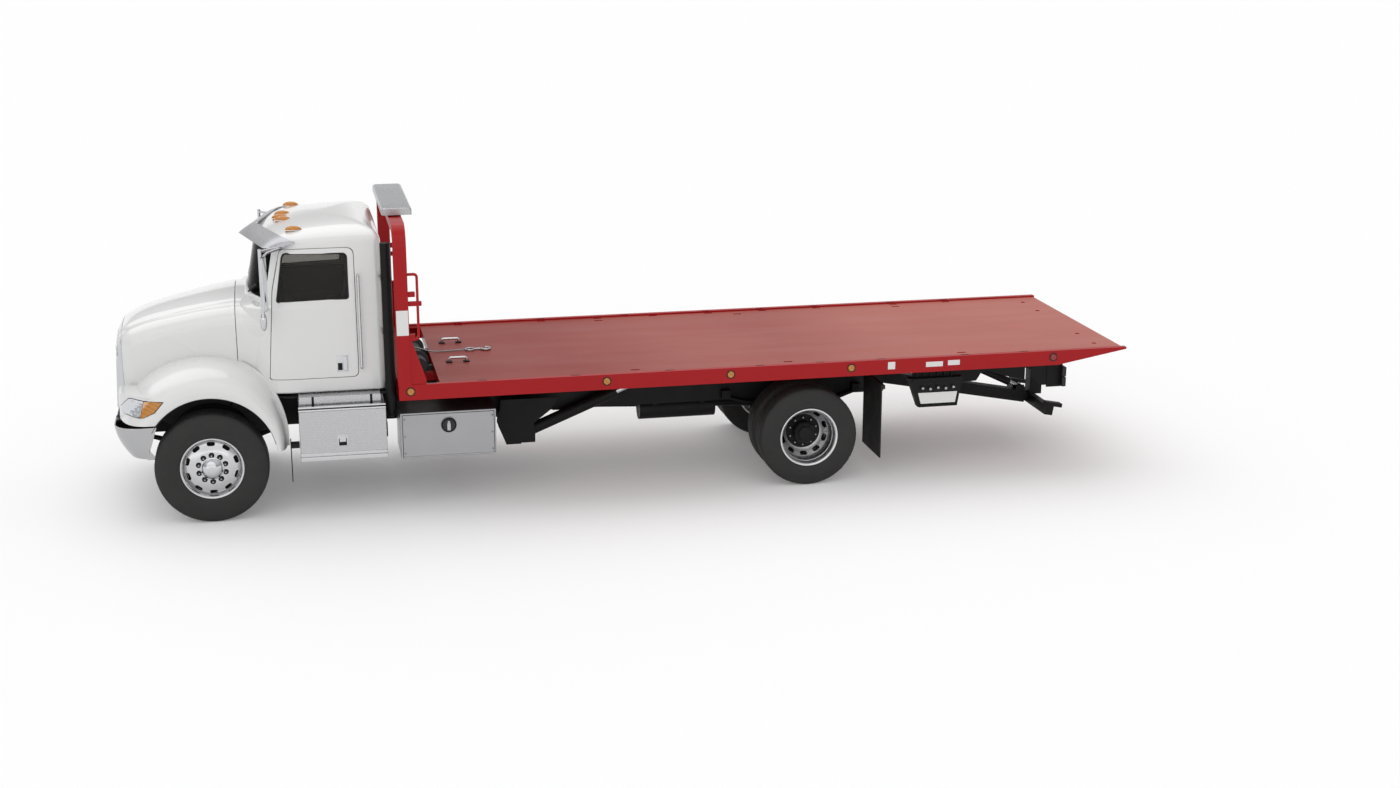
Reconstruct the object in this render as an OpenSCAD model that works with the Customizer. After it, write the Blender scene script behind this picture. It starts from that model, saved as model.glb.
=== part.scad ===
// Flatbed tow truck: conventional cab, tilting and sliding bed, winch and wheel lift.
// Sizes are in mm. Inside the modules x runs rearward from the front axle, y to the right, z up from the ground.

/* [Chassis] */
// distance between the axles
wheelbase = 5880; // [4800:10:7000]
// width over the chassis rails
frame_w = 864; // [760:2:900]
// height of a chassis rail
rail_h = 267; // [200:1:320]
// flange width of a chassis rail
rail_b = 89; // [60:1:110]
// web and flange thickness of a chassis rail
rail_t = 9; // [6:0.5:14]
// top of the chassis rails above the ground
frame_top = 1000; // [900:5:1100]
// rear end of the chassis rails
frame_end = 6900; // [6500:10:7300]
// front face of the bumper
bumper_x = -885; // [-1000:5:-800]
// half width of the bumper
bumper_half = 1150; // [1000:5:1250]
// lower edge of the bumper
bumper_z0 = 657; // [550:1:750]
// upper edge of the bumper
bumper_z1 = 975; // [850:1:1000]

/* [Wheels] */
// outside radius of a front tyre
front_r = 538; // [480:1:560]
// width of a front tyre
front_w = 290; // [240:1:330]
// middle of a front tyre from the truck's middle
front_y = 1020; // [950:1:1080]
// outside radius of a rear tyre
rear_r = 506; // [460:1:540]
// width of a rear tyre
rear_w = 275; // [230:1:300]
// middle of an outer rear tyre from the truck's middle
outer_y = 1080; // [1000:1:1120]
// spacing of twin tyres
twin_gap = 330; // [300:1:360]
// radius of the bead seat
bead_r = 286; // [260:1:300]
// half width of a rim
rim_half = 125; // [100:1:140]
// king pin from the truck's middle
king_y = 880; // [820:1:920]
// radius of the king pin
king_r = 22; // [15:0.5:30]
// radius of a front spindle
spindle_r = 40; // [30:1:50]
// radius of a rear spindle
rear_spindle_r = 62; // [50:1:75]
// radius of the circle of hand holes
hand_pcr = 226; // [215:1:226]
// half width of a hand hole
hand_r = 19; // [12:1:20]
// half length of a hand hole
hand_l = 39; // [25:1:45]

/* [Cab and hood] */
// half width of the cab
cab_half = 965; // [900:1:1050]
// underside of the cab
cab_z0 = 1190; // [1100:5:1250]
// rear wall of the cab
cab_x1 = 1690; // [1600:5:1800]
// front of the cowl
cowl_x = 300; // [260:5:350]
// wall thickness of the cab
cab_wall = 40; // [25:1:60]
// gap round a door
door_gap = 7; // [5:0.5:12]
// rear edge of the hood
hood_x1 = 290; // [240:5:340]
// front of the hood
hood_x0 = -840; // [-900:5:-780]
// thickness of the hood
hood_t = 20; // [10:1:30]
// radius of a wheel arch
arch_r = 625; // [600:1:680]
// centre height of a wheel arch
arch_z = 615; // [560:1:680]
// half width over the fenders
fender_half = 1190; // [1100:1:1250]
// rear edge of a fender
fender_x1 = 737; // [680:1:780]

/* [Boxes] */
// outer face of the tool boxes from the middle
box_y = 1200; // [1100:5:1250]
// front of the tool boxes
box_x0 = 1793; // [1750:1:1900]
// rear of the tool boxes
box_x1 = 2714; // [2600:1:2780]
// underside of the tool boxes
box_z0 = 535; // [480:1:600]
// top of the tool boxes
box_z1 = 990; // [900:1:1000]
// front of the step box
step_x0 = 830; // [800:1:900]
// rear of the step box
step_x1 = 1660; // [1550:1:1700]
// radius of the fuel tank
tank_r = 285; // [230:1:300]

/* [Bed] */
// half width of the bed
bed_half = 1295.5; // [1200:0.5:1300]
// front end of the bed
bed_x0 = 1786; // [1700:1:1850]
// rear tip of the bed
bed_x1 = 9230; // [8500:5:9600]
// underside of a side rail
side_z0 = 1147; // [1100:1:1200]
// top of a side rail
side_z1 = 1298; // [1250:1:1350]
// where the side rail begins to taper
taper_x = 8489; // [8000:1:8800]
// thickness of a side rail
side_t = 60; // [40:1:90]
// top of the deck plate
deck_z = 1280; // [1240:1:1295]
// front edge of the deck plate
deck_x0 = 2185; // [2100:1:2300]
// pivot of the bed: distance behind the front axle
tilt_x = 6880; // [6500:5:7200]
// pivot of the bed: height
tilt_z = 960; // [900:5:1000]
// radius of the pivot pins of the bed
tilt_r = 30; // [20:1:45]
// top of the headboard hoop
hoop_z = 2835; // [2600:5:2900]
// depth of a headboard post
post_d = 125; // [80:1:160]

/* [Lift] */
// pivot of the wheel lift: distance behind the front axle
lift_x = 7010; // [7000:1:7100]
// pivot of the wheel lift: height
lift_z = 780; // [740:1:840]
// slope of the stowed boom
lift_a = 10.7; // [5:0.1:16]
// outside size of the boom
boom_s = 124; // [100:1:150]
// length of the outer boom
boom_l = 1665; // [1500:5:1800]
// half length of the crossbar
bar_half = 560; // [400:5:800]

/* [Hidden] */
$fn = 64;
x_mid = (bumper_x + bed_x1) / 2;
run = 0.06;
rail_y = frame_w / 2;
rail_z0 = frame_top - rail_h;
pin_a = [2953, 489];
pin_b = [4300, 1030];
cyl_y = 520;
cyl_d = pin_b - pin_a;
cyl_l = norm(cyl_d);
cyl_ang = atan2(cyl_d[1], cyl_d[0]);
ram_a = [lift_x + boom_l - 587, lift_z + 42];
ram_s = boom_l - 73;
ram_n = 96;
ram_b = [lift_x + ram_s * cos(lift_a) + ram_n * sin(lift_a), lift_z - ram_s * sin(lift_a) + ram_n * cos(lift_a)];
ram_d = ram_b - ram_a;
ram_l = norm(ram_d);
ram_ang = atan2(ram_d[1], ram_d[0]);
hood_hinge = [-790, 1010];
box_hinge_r = 8;
pad_z = 1105;
control_x = wheelbase + 1037;
flap_x = wheelbase + 750;
door_hinge = [583, -936];
hinge_zs = [1400, 1560];

// Helpers: a box from three ranges, a copy on both sides, and prisms along each axis.
module bar(x, y, z) {
  translate([x[0], y[0], z[0]])
    cube([x[1] - x[0], y[1] - y[0], z[1] - z[0]]);
}

module both() {
  children();
  mirror([0, 1, 0])
    children();
}

module right_side() {
  mirror([0, 1, 0])
    children();
}

module rod_y(x, z, y0, y1, r) {
  translate([x, y0, z])
    rotate([-90, 0, 0])
      cylinder(h = y1 - y0, r = r);
}

module rod_x(y, z, x0, x1, r) {
  translate([x0, y, z])
    rotate([0, 90, 0])
      cylinder(h = x1 - x0, r = r);
}

module rod_z(x, y, z0, z1, r) {
  translate([x, y, z0])
    cylinder(h = z1 - z0, r = r);
}

// A prism along y of a shape drawn in x and z.
module side_prism(y0, y1) {
  translate([0, y1, 0])
    rotate([90, 0, 0])
      linear_extrude(height = y1 - y0)
        children();
}

// A prism along x of a shape drawn in y and z.
module front_prism(x0, x1) {
  translate([x0, 0, 0])
    rotate([90, 0, 90])
      linear_extrude(height = x1 - x0)
        children();
}

// A rectangle with true round corners.
module round_rect(x0, x1, y0, y1, r) {
  translate([x0 + r, y0])
    square([x1 - x0 - 2 * r, y1 - y0]);
  translate([x0, y0 + r])
    square([x1 - x0, y1 - y0 - 2 * r]);
  for (x = [x0 + r, x1 - r])
    for (y = [y0 + r, y1 - r])
      translate([x, y])
        circle(r = r);
}

// Chassis
cross_x = [1250, 2350, 3500, 4700, 5350, 6420];

module rail_channel() {
  difference() {
    bar([-770, frame_end], [-rail_y, -rail_y + rail_b], [rail_z0, frame_top]);
    bar([-780, frame_end + 10], [-rail_y + rail_t, -rail_y + rail_b + 5],
      [rail_z0 + rail_t, frame_top - rail_t]);
  }
}

module frame_rails() {
  color([0.05, 0.05, 0.05]) {
    both() {
      rail_channel();
      rod_y(tilt_x, tilt_z, -rail_y - 48, -rail_y + 20, tilt_r);
      for (x = [420, 1600])
        bar([x - 60, x + 60], [-rail_y, -rail_y + rail_b], [frame_top - 1, cab_z0]);
      for (x = [2500, 4500])
        bar([x - 60, x + 60], [-rail_y, -rail_y + rail_b], [frame_top - 1, frame_top + 9]);
      difference() {
        bar([-822, -740], [-rail_y + 10, -rail_y + 40], [frame_top - 80, hood_hinge[1] + 20]);
        rod_y(hood_hinge[0], hood_hinge[1], -rail_y, -rail_y + 50, 10 + run);
      }
    }
    for (x = cross_x)
      bar([x - 35, x + 35], [-rail_y + 5, rail_y - 5], [frame_top - 120, frame_top - rail_t]);
    bar([-765, -735], [-rail_y + 5, rail_y - 5], [rail_z0 + 20, rail_z0 + 120]);
    bar([frame_end - 60, frame_end], [-rail_y + 5, rail_y - 5], [rail_z0, frame_top - rail_t]);
  }
}

module bumper_plan(d) {
  round_rect(bumper_x + d, bumper_x + 720, -bumper_half + d, bumper_half - d, 250 - d);
}

module front_bumper() {
  color([0.8, 0.8, 0.82]) {
    difference() {
      translate([0, 0, bumper_z0])
        linear_extrude(height = bumper_z1 - bumper_z0)
          difference() {
            bumper_plan(0);
            bumper_plan(12);
          }
      bar([-570, 0], [-1300, 1300], [bumper_z0 - 5, bumper_z1 + 5]);
    }
    both()
      bar([bumper_x + 6, -765], [-rail_y + rail_t, -rail_y + rail_b - 10], [rail_z0 + 30, rail_z0 + 130]);
  }
}

module engine_and_gearbox() {
  color([0.3, 0.3, 0.32]) {
    bar([-540, 300], [-300, 300], [700, 1480]);
    bar([-440, 200], [-200, 200], [600, 720]);
    rod_x(0, 850, 290, 560, 230);
    bar([540, 1060], [-190, 190], [670, 1000]);
    both()
      bar([-60, 60], [-rail_y + rail_t, -290], [800, 900]);
  }
}

module radiator() {
  color([0.12, 0.12, 0.13]) {
    bar([-720, -630], [-330, 330], [760, 1580]);
    bar([-730, -620], [-340, 340], [1540, 1600]);
    both()
      bar([-700, -650], [-rail_y + rail_t, -320], [800, 860]);
  }
}

// Front axle: a dropped beam whose ends hold the king pins.
module front_axle() {
  color([0.07, 0.07, 0.07])
    difference() {
      union() {
        front_prism(-45, 45)
          polygon([[-king_y, 572], [-800, 572], [-620, 470], [620, 470], [800, 572], [king_y, 572],
            [king_y, 504], [790, 504], [600, 390], [-600, 390], [-790, 504], [-king_y, 504]]);
        both()
          rod_z(0, -king_y, 504, 572, 58);
        both()
          bar([-75, 75], [-rail_y, -rail_y + rail_b], [460, 560]);
      }
      both()
        rod_z(0, -king_y, 480, 600, king_r + run);
    }
}

// Left steering knuckle: fork, king pin, brake plate, spindle and arm.
module knuckle() {
  difference() {
    union() {
      rod_z(0, -king_y, 578, 630, 56);
      rod_z(0, -king_y, 446, 498, 56);
      bar([-56, 56], [-king_y - 85, -king_y], [446, 630]);
      rod_y(0, front_r, -king_y - 85, -king_y - 60, 200);
      bar([40, 230], [-king_y + 10, -king_y + 50], [452, 492]);
    }
    rod_z(0, -king_y, 498, 578, 66);
  }
  rod_z(0, -king_y, 440, 636, king_r);
  rod_y(0, front_r, -1080, -king_y - 80, spindle_r);
}

module left_knuckle() {
  color([0.09, 0.09, 0.09])
    knuckle();
}

module right_knuckle() {
  color([0.09, 0.09, 0.09])
    right_side()
      knuckle();
}

// Wheels: profiles of radius and distance outward from the tyre's middle.
module tyre(r, w) {
  h = w / 2;
  s = r - bead_r;
  rotate([90, 0, 0])
    rotate_extrude($fn = 96)
      polygon([[bead_r, -h * 0.76], [bead_r + s * 0.12, -h * 0.86], [bead_r + s * 0.35, -h * 0.99],
        [bead_r + s * 0.5, -h], [bead_r + s * 0.75, -h * 0.96], [r - 26, -h * 0.9], [r - 8, -h * 0.82],
        [r, -h * 0.66], [r, h * 0.66], [r - 8, h * 0.82], [r - 26, h * 0.9], [bead_r + s * 0.75, h * 0.96],
        [bead_r + s * 0.5, h], [bead_r + s * 0.35, h * 0.99], [bead_r + s * 0.12, h * 0.86],
        [bead_r, h * 0.76]]);
}

module rim_barrel() {
  rotate([90, 0, 0])
    rotate_extrude($fn = 96)
      polygon([[298, rim_half], [298, rim_half - 8], [bead_r, rim_half - 14], [bead_r - 2, 70], [258, 50],
        [258, -60], [bead_r - 2, -80], [bead_r, -rim_half + 14], [298, -rim_half + 8], [298, -rim_half],
        [286, -rim_half], [275, -rim_half + 14], [273, -76], [246, -56], [246, 44], [273, 66],
        [275, rim_half - 14], [286, rim_half]]);
}

module hand_holes(y0, y1) {
  for (i = [0 : 9])
    rotate([0, i * 36, 0])
      side_prism(y0, y1)
        round_rect(hand_pcr - hand_r, hand_pcr + hand_r, -hand_l, hand_l, hand_r - 1);
}

module front_rim() {
  difference() {
    union() {
      rim_barrel();
      rotate([90, 0, 0])
        rotate_extrude($fn = 96)
          polygon([[0, 112], [150, 112], [180, 106], [268, 74], [268, 56], [180, 88], [150, 94], [0, 94]]);
      rod_y(0, 0, -112, 30, 95);
      translate([0, -110, 0])
        rotate([90, 0, 0])
          cylinder(h = 60, r1 = 88, r2 = 52);
    }
    hand_holes(-130, -60);
    rod_y(0, 0, -62, 40, spindle_r + run);
  }
}

module rear_disc() {
  rotate([90, 0, 0])
    rotate_extrude($fn = 96)
      polygon([[0, -146], [150, -146], [185, -140], [252, -80], [252, -58], [180, -124], [150, -130],
        [0, -130]]);
}

// The twin wheels of one side share a hub; the discs meet halfway between the tyres.
module twin_rims() {
  difference() {
    union() {
      translate([0, -outer_y, 0]) {
        rim_barrel();
        rear_disc();
      }
      translate([0, -outer_y + twin_gap, 0])
        mirror([0, 1, 0]) {
          rim_barrel();
          rear_disc();
        }
      rod_y(0, 0, -outer_y + 130, -outer_y + 210, 200);
      rod_y(0, 0, -outer_y - 20, -outer_y + 270, 105);
      rod_y(0, 0, -outer_y - 45, -outer_y - 15, 80);
    }
    hand_holes(-outer_y + 50, -outer_y + 285);
    rod_y(0, 0, -outer_y + 95, -outer_y + 280, rear_spindle_r + run);
  }
}

module front_left_tyre() {
  color([0.03, 0.03, 0.03])
    translate([0, -front_y, front_r])
      tyre(front_r, front_w);
}

module front_right_tyre() {
  right_side()
    front_left_tyre();
}

module front_left_rim() {
  color([0.75, 0.75, 0.77])
    translate([0, -front_y, front_r])
      front_rim();
}

module front_right_rim() {
  right_side()
    front_left_rim();
}

module rear_left_tyres() {
  color([0.03, 0.03, 0.03])
    for (y = [outer_y, outer_y - twin_gap])
      translate([wheelbase, -y, rear_r])
        tyre(rear_r, rear_w);
}

module rear_right_tyres() {
  right_side()
    rear_left_tyres();
}

module rear_left_rims() {
  color([0.75, 0.75, 0.77])
    translate([wheelbase, 0, rear_r])
      twin_rims();
}

module rear_right_rims() {
  right_side()
    rear_left_rims();
}

module rear_axle() {
  color([0.06, 0.06, 0.06])
    translate([wheelbase, 0, rear_r]) {
      rod_y(0, 0, -690, 690, 75);
      rod_y(0, 0, -970, 970, rear_spindle_r);
      rotate([90, 0, 0])
        rotate_extrude()
          polygon([[0, -150], [174, -150], [222, -70], [222, 70], [174, 150], [0, 150]]);
      translate([0, 0, 40])
        rotate([0, -84, 0])
          cylinder(h = 330, r1 = 110, r2 = 75);
      both()
        bar([-80, 80], [-rail_y - 84, -rail_y - 4], [60, 122]);
    }
}

// Leaf packs as curved strips: middle, half span, half width range, height of middle and of ends.
module leaf_pack(x, half, y, zm, ze) {
  side_prism(y[0], y[1])
    polygon(concat([for (i = [-4 : 4]) [x + half * i / 4, zm + (ze - zm) * i * i / 16]],
      [for (i = [4 : -1 : -4]) [x + half * i / 4, zm + 18 + 52 * (1 - abs(i) / 4) + (ze - zm) * i * i / 16]]));
}

module leaf_springs() {
  color([0.06, 0.06, 0.06])
    both() {
      leaf_pack(0, 640, [-rail_y, -rail_y + 80], 560, 690);
      for (x = [-640, 640])
        bar([x - 40, x + 40], [-rail_y, -rail_y + 80], [688, rail_z0]);
      leaf_pack(wheelbase, 700, [-rail_y - 84, -rail_y - 4], rear_r + 122, 770);
      for (x = [-700, 700])
        bar([wheelbase + x - 45, wheelbase + x + 45], [-rail_y - 84, -rail_y], [765, 850]);
    }
}

module drive_shaft() {
  color([0.1, 0.1, 0.1])
    difference() {
      union() {
        a = [1060, 800];
        b = [wheelbase - 329, rear_r + 75];
        d = b - a;
        translate([a[0], 0, a[1]])
          rotate([0, 90 - atan2(d[1], d[0]), 0])
            cylinder(h = norm(d), r = 48);
        rod_x(0, 681, 3440, 3560, 75);
        bar([3465, 3535], [-60, 60], [640, frame_top - 120]);
      }
      engine_and_gearbox();
      rear_axle();
    }
}

module exhaust() {
  color([0.35, 0.33, 0.31])
    right_side() {
      rod_x(-520, 600, 900, 2760, 50);
      rod_x(-520, 600, 1400, 2350, 85);
      for (x = [1500, 2250]) {
        bar([x - 20, x + 20], [-540, -rail_y], [740, 770]);
        bar([x - 20, x + 20], [-540, -500], [640, 750]);
      }
    }
}

module air_tanks() {
  color([0.05, 0.05, 0.05])
    both() {
      rod_x(-250, 640, 4300, 5100, 110);
      for (x = [4450, 4950])
        bar([x - 20, x + 20], [-410, -250], [rail_z0 - 20, rail_z0]);
    }
}

module fuel_tank() {
  color([0.75, 0.75, 0.77])
    right_side() {
      rod_x(-880, 800, step_x0, step_x1 - 20, tank_r);
      for (x = [step_x0 + 180, step_x1 - 200])
        difference() {
          union() {
            rod_x(-880, 800, x - 30, x + 30, tank_r + 6);
            bar([x - 30, x + 30], [-700, -rail_y], [800, 960]);
          }
          rod_x(-880, 800, x - 40, x + 40, tank_r);
        }
    }
}

module step_box() {
  color([0.72, 0.72, 0.74]) {
    bar([step_x0, step_x1], [-1180, -640], [563, 1078]);
    bar([step_x0, step_x1], [-1210, -1170], [563, 600]);
    bar([step_x0 + 20, step_x1 - 20], [-1120, -640], [1076, 1150]);
    for (x = [step_x0 + 150, step_x1 - 150])
      bar([x - 40, x + 40], [-650, -rail_y], [780, 940]);
  }
}

module tool_boxes() {
  color([0.75, 0.75, 0.77])
    both() {
      difference() {
        bar([box_x0, box_x1], [-box_y, -620], [box_z0, box_z1]);
        bar([box_x0 + 8, box_x1 - 8], [-box_y + 24, -628], [box_z0 + 8, box_z1 - 8]);
        bar([box_x0 + 14, box_x1 - 14], [-box_y - 5, -box_y + 30], [box_z0 + 14, box_z1 - 14]);
        rod_x(-box_y, box_z0 + 14, box_x0 + 19, box_x1 - 19, box_hinge_r + 0.3);
      }
      for (x = [box_x0 + 150, box_x1 - 150])
        bar([x - 40, x + 40], [-625, -rail_y], [780, 940]);
    }
}

module box_door() {
  bar([box_x0 + 20, box_x1 - 20], [-box_y, -box_y + 18], [box_z0 + 20, box_z1 - 20]);
  rod_x(-box_y, box_z0 + 14, box_x0 + 20, box_x1 - 20, box_hinge_r);
  rod_y((box_x0 + box_x1) / 2, 858, -box_y - 14, -box_y + 2, 75);
}

module left_box_door() {
  color([0.78, 0.78, 0.8])
    box_door();
}

module right_box_door() {
  color([0.78, 0.78, 0.8])
    right_side()
      box_door();
}

module mud_flaps() {
  color([0.04, 0.04, 0.04])
    both() {
      bar([flap_x, flap_x + 12], [-1200, -600], [240, 1010]);
      bar([flap_x + 12, flap_x + 42], [-1200, -rail_y], [965, 1005]);
      bar([742, 752], [-1180, -960], [370, 740]);
      bar([752, 830], [-1100, -1000], [680, 720]);
    }
}

module tilt_brackets() {
  color([0.05, 0.05, 0.05])
    both() {
      for (y = [-cyl_y - 82, -cyl_y + 68])
        side_prism(y, y + 14)
          polygon([[2830, 911], [3159, 911], [3120, 700], [3030, 440], [2880, 440], [2804, 640]]);
      rod_y(pin_a[0], pin_a[1], -cyl_y - 88, -cyl_y + 84, 25);
      bar([2850, 3140], [-cyl_y - 82, -rail_y], [870, 911]);
    }
}

module lift_frame() {
  color([0.05, 0.05, 0.05]) {
    bar([lift_x - 55, ram_a[0] + 62], [-80, 80], [870, 918]);
    for (x = [lift_x + 30, ram_a[0] - 40])
      bar([x, x + 90], [-440, 440], [918, 1015]);
    rod_y(lift_x, lift_z, -118, 118, 26);
    both() {
      bar([lift_x - 55, lift_x + 120], [-110, -72], [735, 918]);
      bar([ram_a[0] - 58, ram_a[0] + 62], [-66, -52], [775, 872]);
      rod_y(ram_a[0], ram_a[1], -70, 0, 20);
    }
  }
}

// Cab: the body is where a side shape, a front shape, a raked plan and an upright plan meet.
screen_k = 0.19;

module cab_side(d) {
  polygon([[cowl_x + d, cab_z0 + d], [cowl_x + d, 2012 - d], [392 + d, 2056 - d], [505 + d, 2640 - d],
    [645 + d * 0.4, 2748 - d], [900, 2790 - d], [1300, 2815 - d], [1560, 2806 - d], [1650 - d, 2765 - d * 0.6],
    [cab_x1 - d, 2680 - d * 0.6], [cab_x1 - d, cab_z0 + d]]);
}

module cab_front(d) {
  h = [[cab_half - d, cab_z0 + d], [cab_half - d, 2100], [928 - d, 2610 - d * 0.3], [908 - d, 2668 - d * 0.6],
    [866 - d * 0.6, 2712 - d], [780, 2744 - d], [500, 2786 - d], [200, 2811 - d]];
  polygon(concat(h, [for (i = [len(h) - 1 : -1 : 0]) [-h[i][0], h[i][1]]]));
}

screen_plan = [[392, 0], [399, 180], [420, 360], [460, 530], [520, 690], [585, 820], [650, 905], [760, 960]];

module screen_shape(d) {
  polygon(concat([for (p = screen_plan) [p[0] + d, p[1]]], [[2300, 1100], [2300, -1100]],
    [for (i = [len(screen_plan) - 1 : -1 : 1]) [screen_plan[i][0] + d, -screen_plan[i][1]]]));
}

// The raked plan: it leans back with height, and equals its drawing at the foot of the screen.
module screen_prism(d, z0, z1) {
  a = atan(screen_k);
  translate([0, 0, 2056])
    rotate([0, a, 0])
      translate([0, 0, z0 - 2056])
        linear_extrude(height = z1 - z0)
          screen_shape(d);
}

module cab_plan(d) {
  h = [[cowl_x + d, 790 - d], [480 + d * 0.5, 870 - d], [640, 942 - d], [740, cab_half - d],
    [1640 - d, cab_half - d], [cab_x1 - d, 915 - d]];
  polygon(concat(h, [for (i = [len(h) - 1 : -1 : 0]) [h[i][0], -h[i][1]]]));
}

module cab_block(d) {
  intersection() {
    side_prism(-1000, 1000)
      cab_side(d);
    front_prism(200, 1800)
      cab_front(d);
    union() {
      screen_prism(d, 2000, 3000);
      bar([200, 2200], [-1100, 1100], [1000, 2056 - d]);
    }
    translate([0, 0, 1000])
      linear_extrude(height = 2000)
        cab_plan(d);
  }
}

module door_shape(g) {
  polygon([[589 - g, 1344 - g], [655 - g, 2185], [743 - g, 2583 + g], [1340 + g, 2583 + g],
    [1395 + g, 2555 + g], [1425 + g, 2500], [1425 + g, 1330 - g], [620, 1330 - g]]);
}

module window_shape(g) {
  polygon([[690 - g, 2082 - g], [765 - g, 2545 + g], [1330 + g, 2530 + g], [1362 + g, 2490],
    [1362 + g, 2100 - g]]);
}

module screen_opening(g) {
  polygon([[-800 + g, 2100 + g], [-770 + g, 2560 - g], [770 - g, 2560 - g], [800 - g, 2100 + g]]);
}

module rear_opening(g) {
  round_rect(-620 + g, 620 - g, 2080 + g, 2480 - g, 60);
}

module cab_shell() {
  color([0.92, 0.92, 0.9]) {
    difference() {
      cab_block(0);
      cab_block(cab_wall);
      side_prism(-1100, -700)
        door_shape(door_gap);
      side_prism(700, 1100)
        door_shape(door_gap);
      front_prism(200, 720)
        screen_opening(0);
      front_prism(1600, 1800)
        rear_opening(0);
      both()
        mirror_arm_bars();
    }
    both()
      for (z = hinge_zs) {
        rod_z(door_hinge[0], door_hinge[1], z + 46, z + 102, 9);
        rod_z(door_hinge[0], door_hinge[1], z - 4, z + 60, 5);
        bar([566, 591], [-932, -900], [z + 52, z + 102]);
      }
  }
}

module cab_glass() {
  color([0.1, 0.12, 0.13]) {
    intersection() {
      front_prism(200, 720)
        screen_opening(0);
      difference() {
        screen_prism(10, 1900, 2700);
        screen_prism(18, 1800, 2800);
      }
    }
    front_prism(cab_x1 - 26, cab_x1 - 18)
      rear_opening(0);
  }
}

module door_panel() {
  difference() {
    intersection() {
      cab_block(0);
      side_prism(-1100, -700)
        door_shape(0);
    }
    cab_block(cab_wall - 4);
    side_prism(-1100, -700)
      window_shape(0);
    for (z = hinge_zs)
      rod_z(door_hinge[0], door_hinge[1], z + 41, z + 108, 62);
  }
  for (z = hinge_zs)
    difference() {
      union() {
        rod_z(door_hinge[0], door_hinge[1], z, z + 45, 9);
        bar([583, 660], [-942, -931], [z, z + 45]);
      }
      rod_z(door_hinge[0], door_hinge[1], z - 5, z + 50, 5 + run);
    }
}

module door_pane() {
  intersection() {
    difference() {
      cab_block(12);
      cab_block(18);
    }
    side_prism(-1100, -700)
      window_shape(-1);
  }
}

module left_door() {
  color([0.92, 0.92, 0.9])
    door_panel();
}

module right_door() {
  color([0.92, 0.92, 0.9])
    right_side()
      door_panel();
}

module left_door_glass() {
  color([0.1, 0.12, 0.13])
    door_pane();
}

module right_door_glass() {
  color([0.1, 0.12, 0.13])
    right_side()
      door_pane();
}

module dashboard() {
  color([0.12, 0.12, 0.13]) {
    side_prism(-735, 735)
      polygon([[cowl_x + cab_wall, 1750], [cowl_x + cab_wall, 1945], [620, 2000], [730, 1975], [730, 1850],
        [660, 1750]]);
    translate([700, -430, 1880])
      rotate([0, 62, 0])
        cylinder(h = 175.7, r = 38);
  }
}

module seats() {
  color([0.16, 0.16, 0.17])
    for (y = [-430, 430]) {
      side_prism(y - 250, y + 250)
        polygon([[880, 1600], [900, 1700], [1330, 1690], [1440, 2240], [1470, 2420], [1560, 2410], [1560, 2240],
          [1500, 1600]]);
      bar([960, 1440], [y - 180, y + 180], [cab_z0 + cab_wall, 1610]);
    }
}

module steering_wheel() {
  color([0.05, 0.05, 0.05])
    translate([700, -430, 1880])
      rotate([0, 62, 0])
        translate([0, 0, 190]) {
          rotate_extrude()
            translate([215, 0])
              circle(r = 17);
          translate([0, 0, -14])
            cylinder(h = 30, r = 50);
          for (a = [90, 210, 330])
            rotate([0, 0, a])
              bar([30, 205], [-16, 16], [-6, 6]);
        }
}

module sun_visor() {
  color([0.8, 0.8, 0.82])
    difference() {
      intersection() {
        side_prism(-925, 925)
          polygon([[300, 2560], [312, 2553], [560, 2690], [700, 2744], [700, 2758], [552, 2704]]);
        translate([-100, 0, 2500])
          linear_extrude(height = 400)
            screen_shape(60);
      }
      cab_block(-1);
    }
}

module roof_lamps() {
  color([0.9, 0.45, 0.05])
    for (p = [[860, -600, 2765], [800, -130, 2788], [790, 0, 2790], [800, 130, 2788], [860, 600, 2765]])
      difference() {
        translate(p)
          intersection() {
            rod_x(0, 0, -60, 60, 36);
            bar([-60, 60], [-40, 40], [-30, 40]);
          }
        cab_block(0);
      }
}

// Where the mirror arms end, a little way into the cab's pillars: x, y and height.
mirror_arms = [[603, -909, 2024], [790, -902, 2610]];

module mirror_arm_bars() {
  for (a = mirror_arms)
    translate([560, -1105, a[2]])
      rotate([0, 0, atan2(a[1] + 1105, a[0] - 560)])
        bar([0, norm([a[0] - 560, a[1] + 1105])], [-11, 11], [-12, 12]);
}

module mirrors() {
  color([0.1, 0.1, 0.1])
    both() {
      bar([535, 585], [-1190, -1020], [2040, 2560]);
      rod_x(-1105, 1940, 535, 570, 85);
      rod_z(560, -1105, 1850, 2640, 17);
      mirror_arm_bars();
    }
}

// Hood: each half is a rounded prism that runs forward, down and inward; fenders are turned about the arch.
hood_corner = [hood_x1, -790, 2004];
hood_turn = [4, -8, -11.5];

module hood_half(d) {
  translate(hood_corner)
    rotate(hood_turn)
      front_prism(-1400, 120)
        union() {
          translate([d, -900])
            square([1100, 900 - 170]);
          translate([170, -900])
            square([1100, 900 - d]);
          translate([170, -170])
            circle(r = 170 - d);
        }
}

module hood_nose(d) {
  polygon([[hood_x1 + 30, 2120], [-400 + d, 1926 - d], [-560 + d, 1884 - d], [-700 + d, 1830 - d],
    [-790 + d, 1768 - d], [hood_x0 + d, 1680 - d], [hood_x0 + d, 900], [hood_x1 + 30, 900]]);
}

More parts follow.
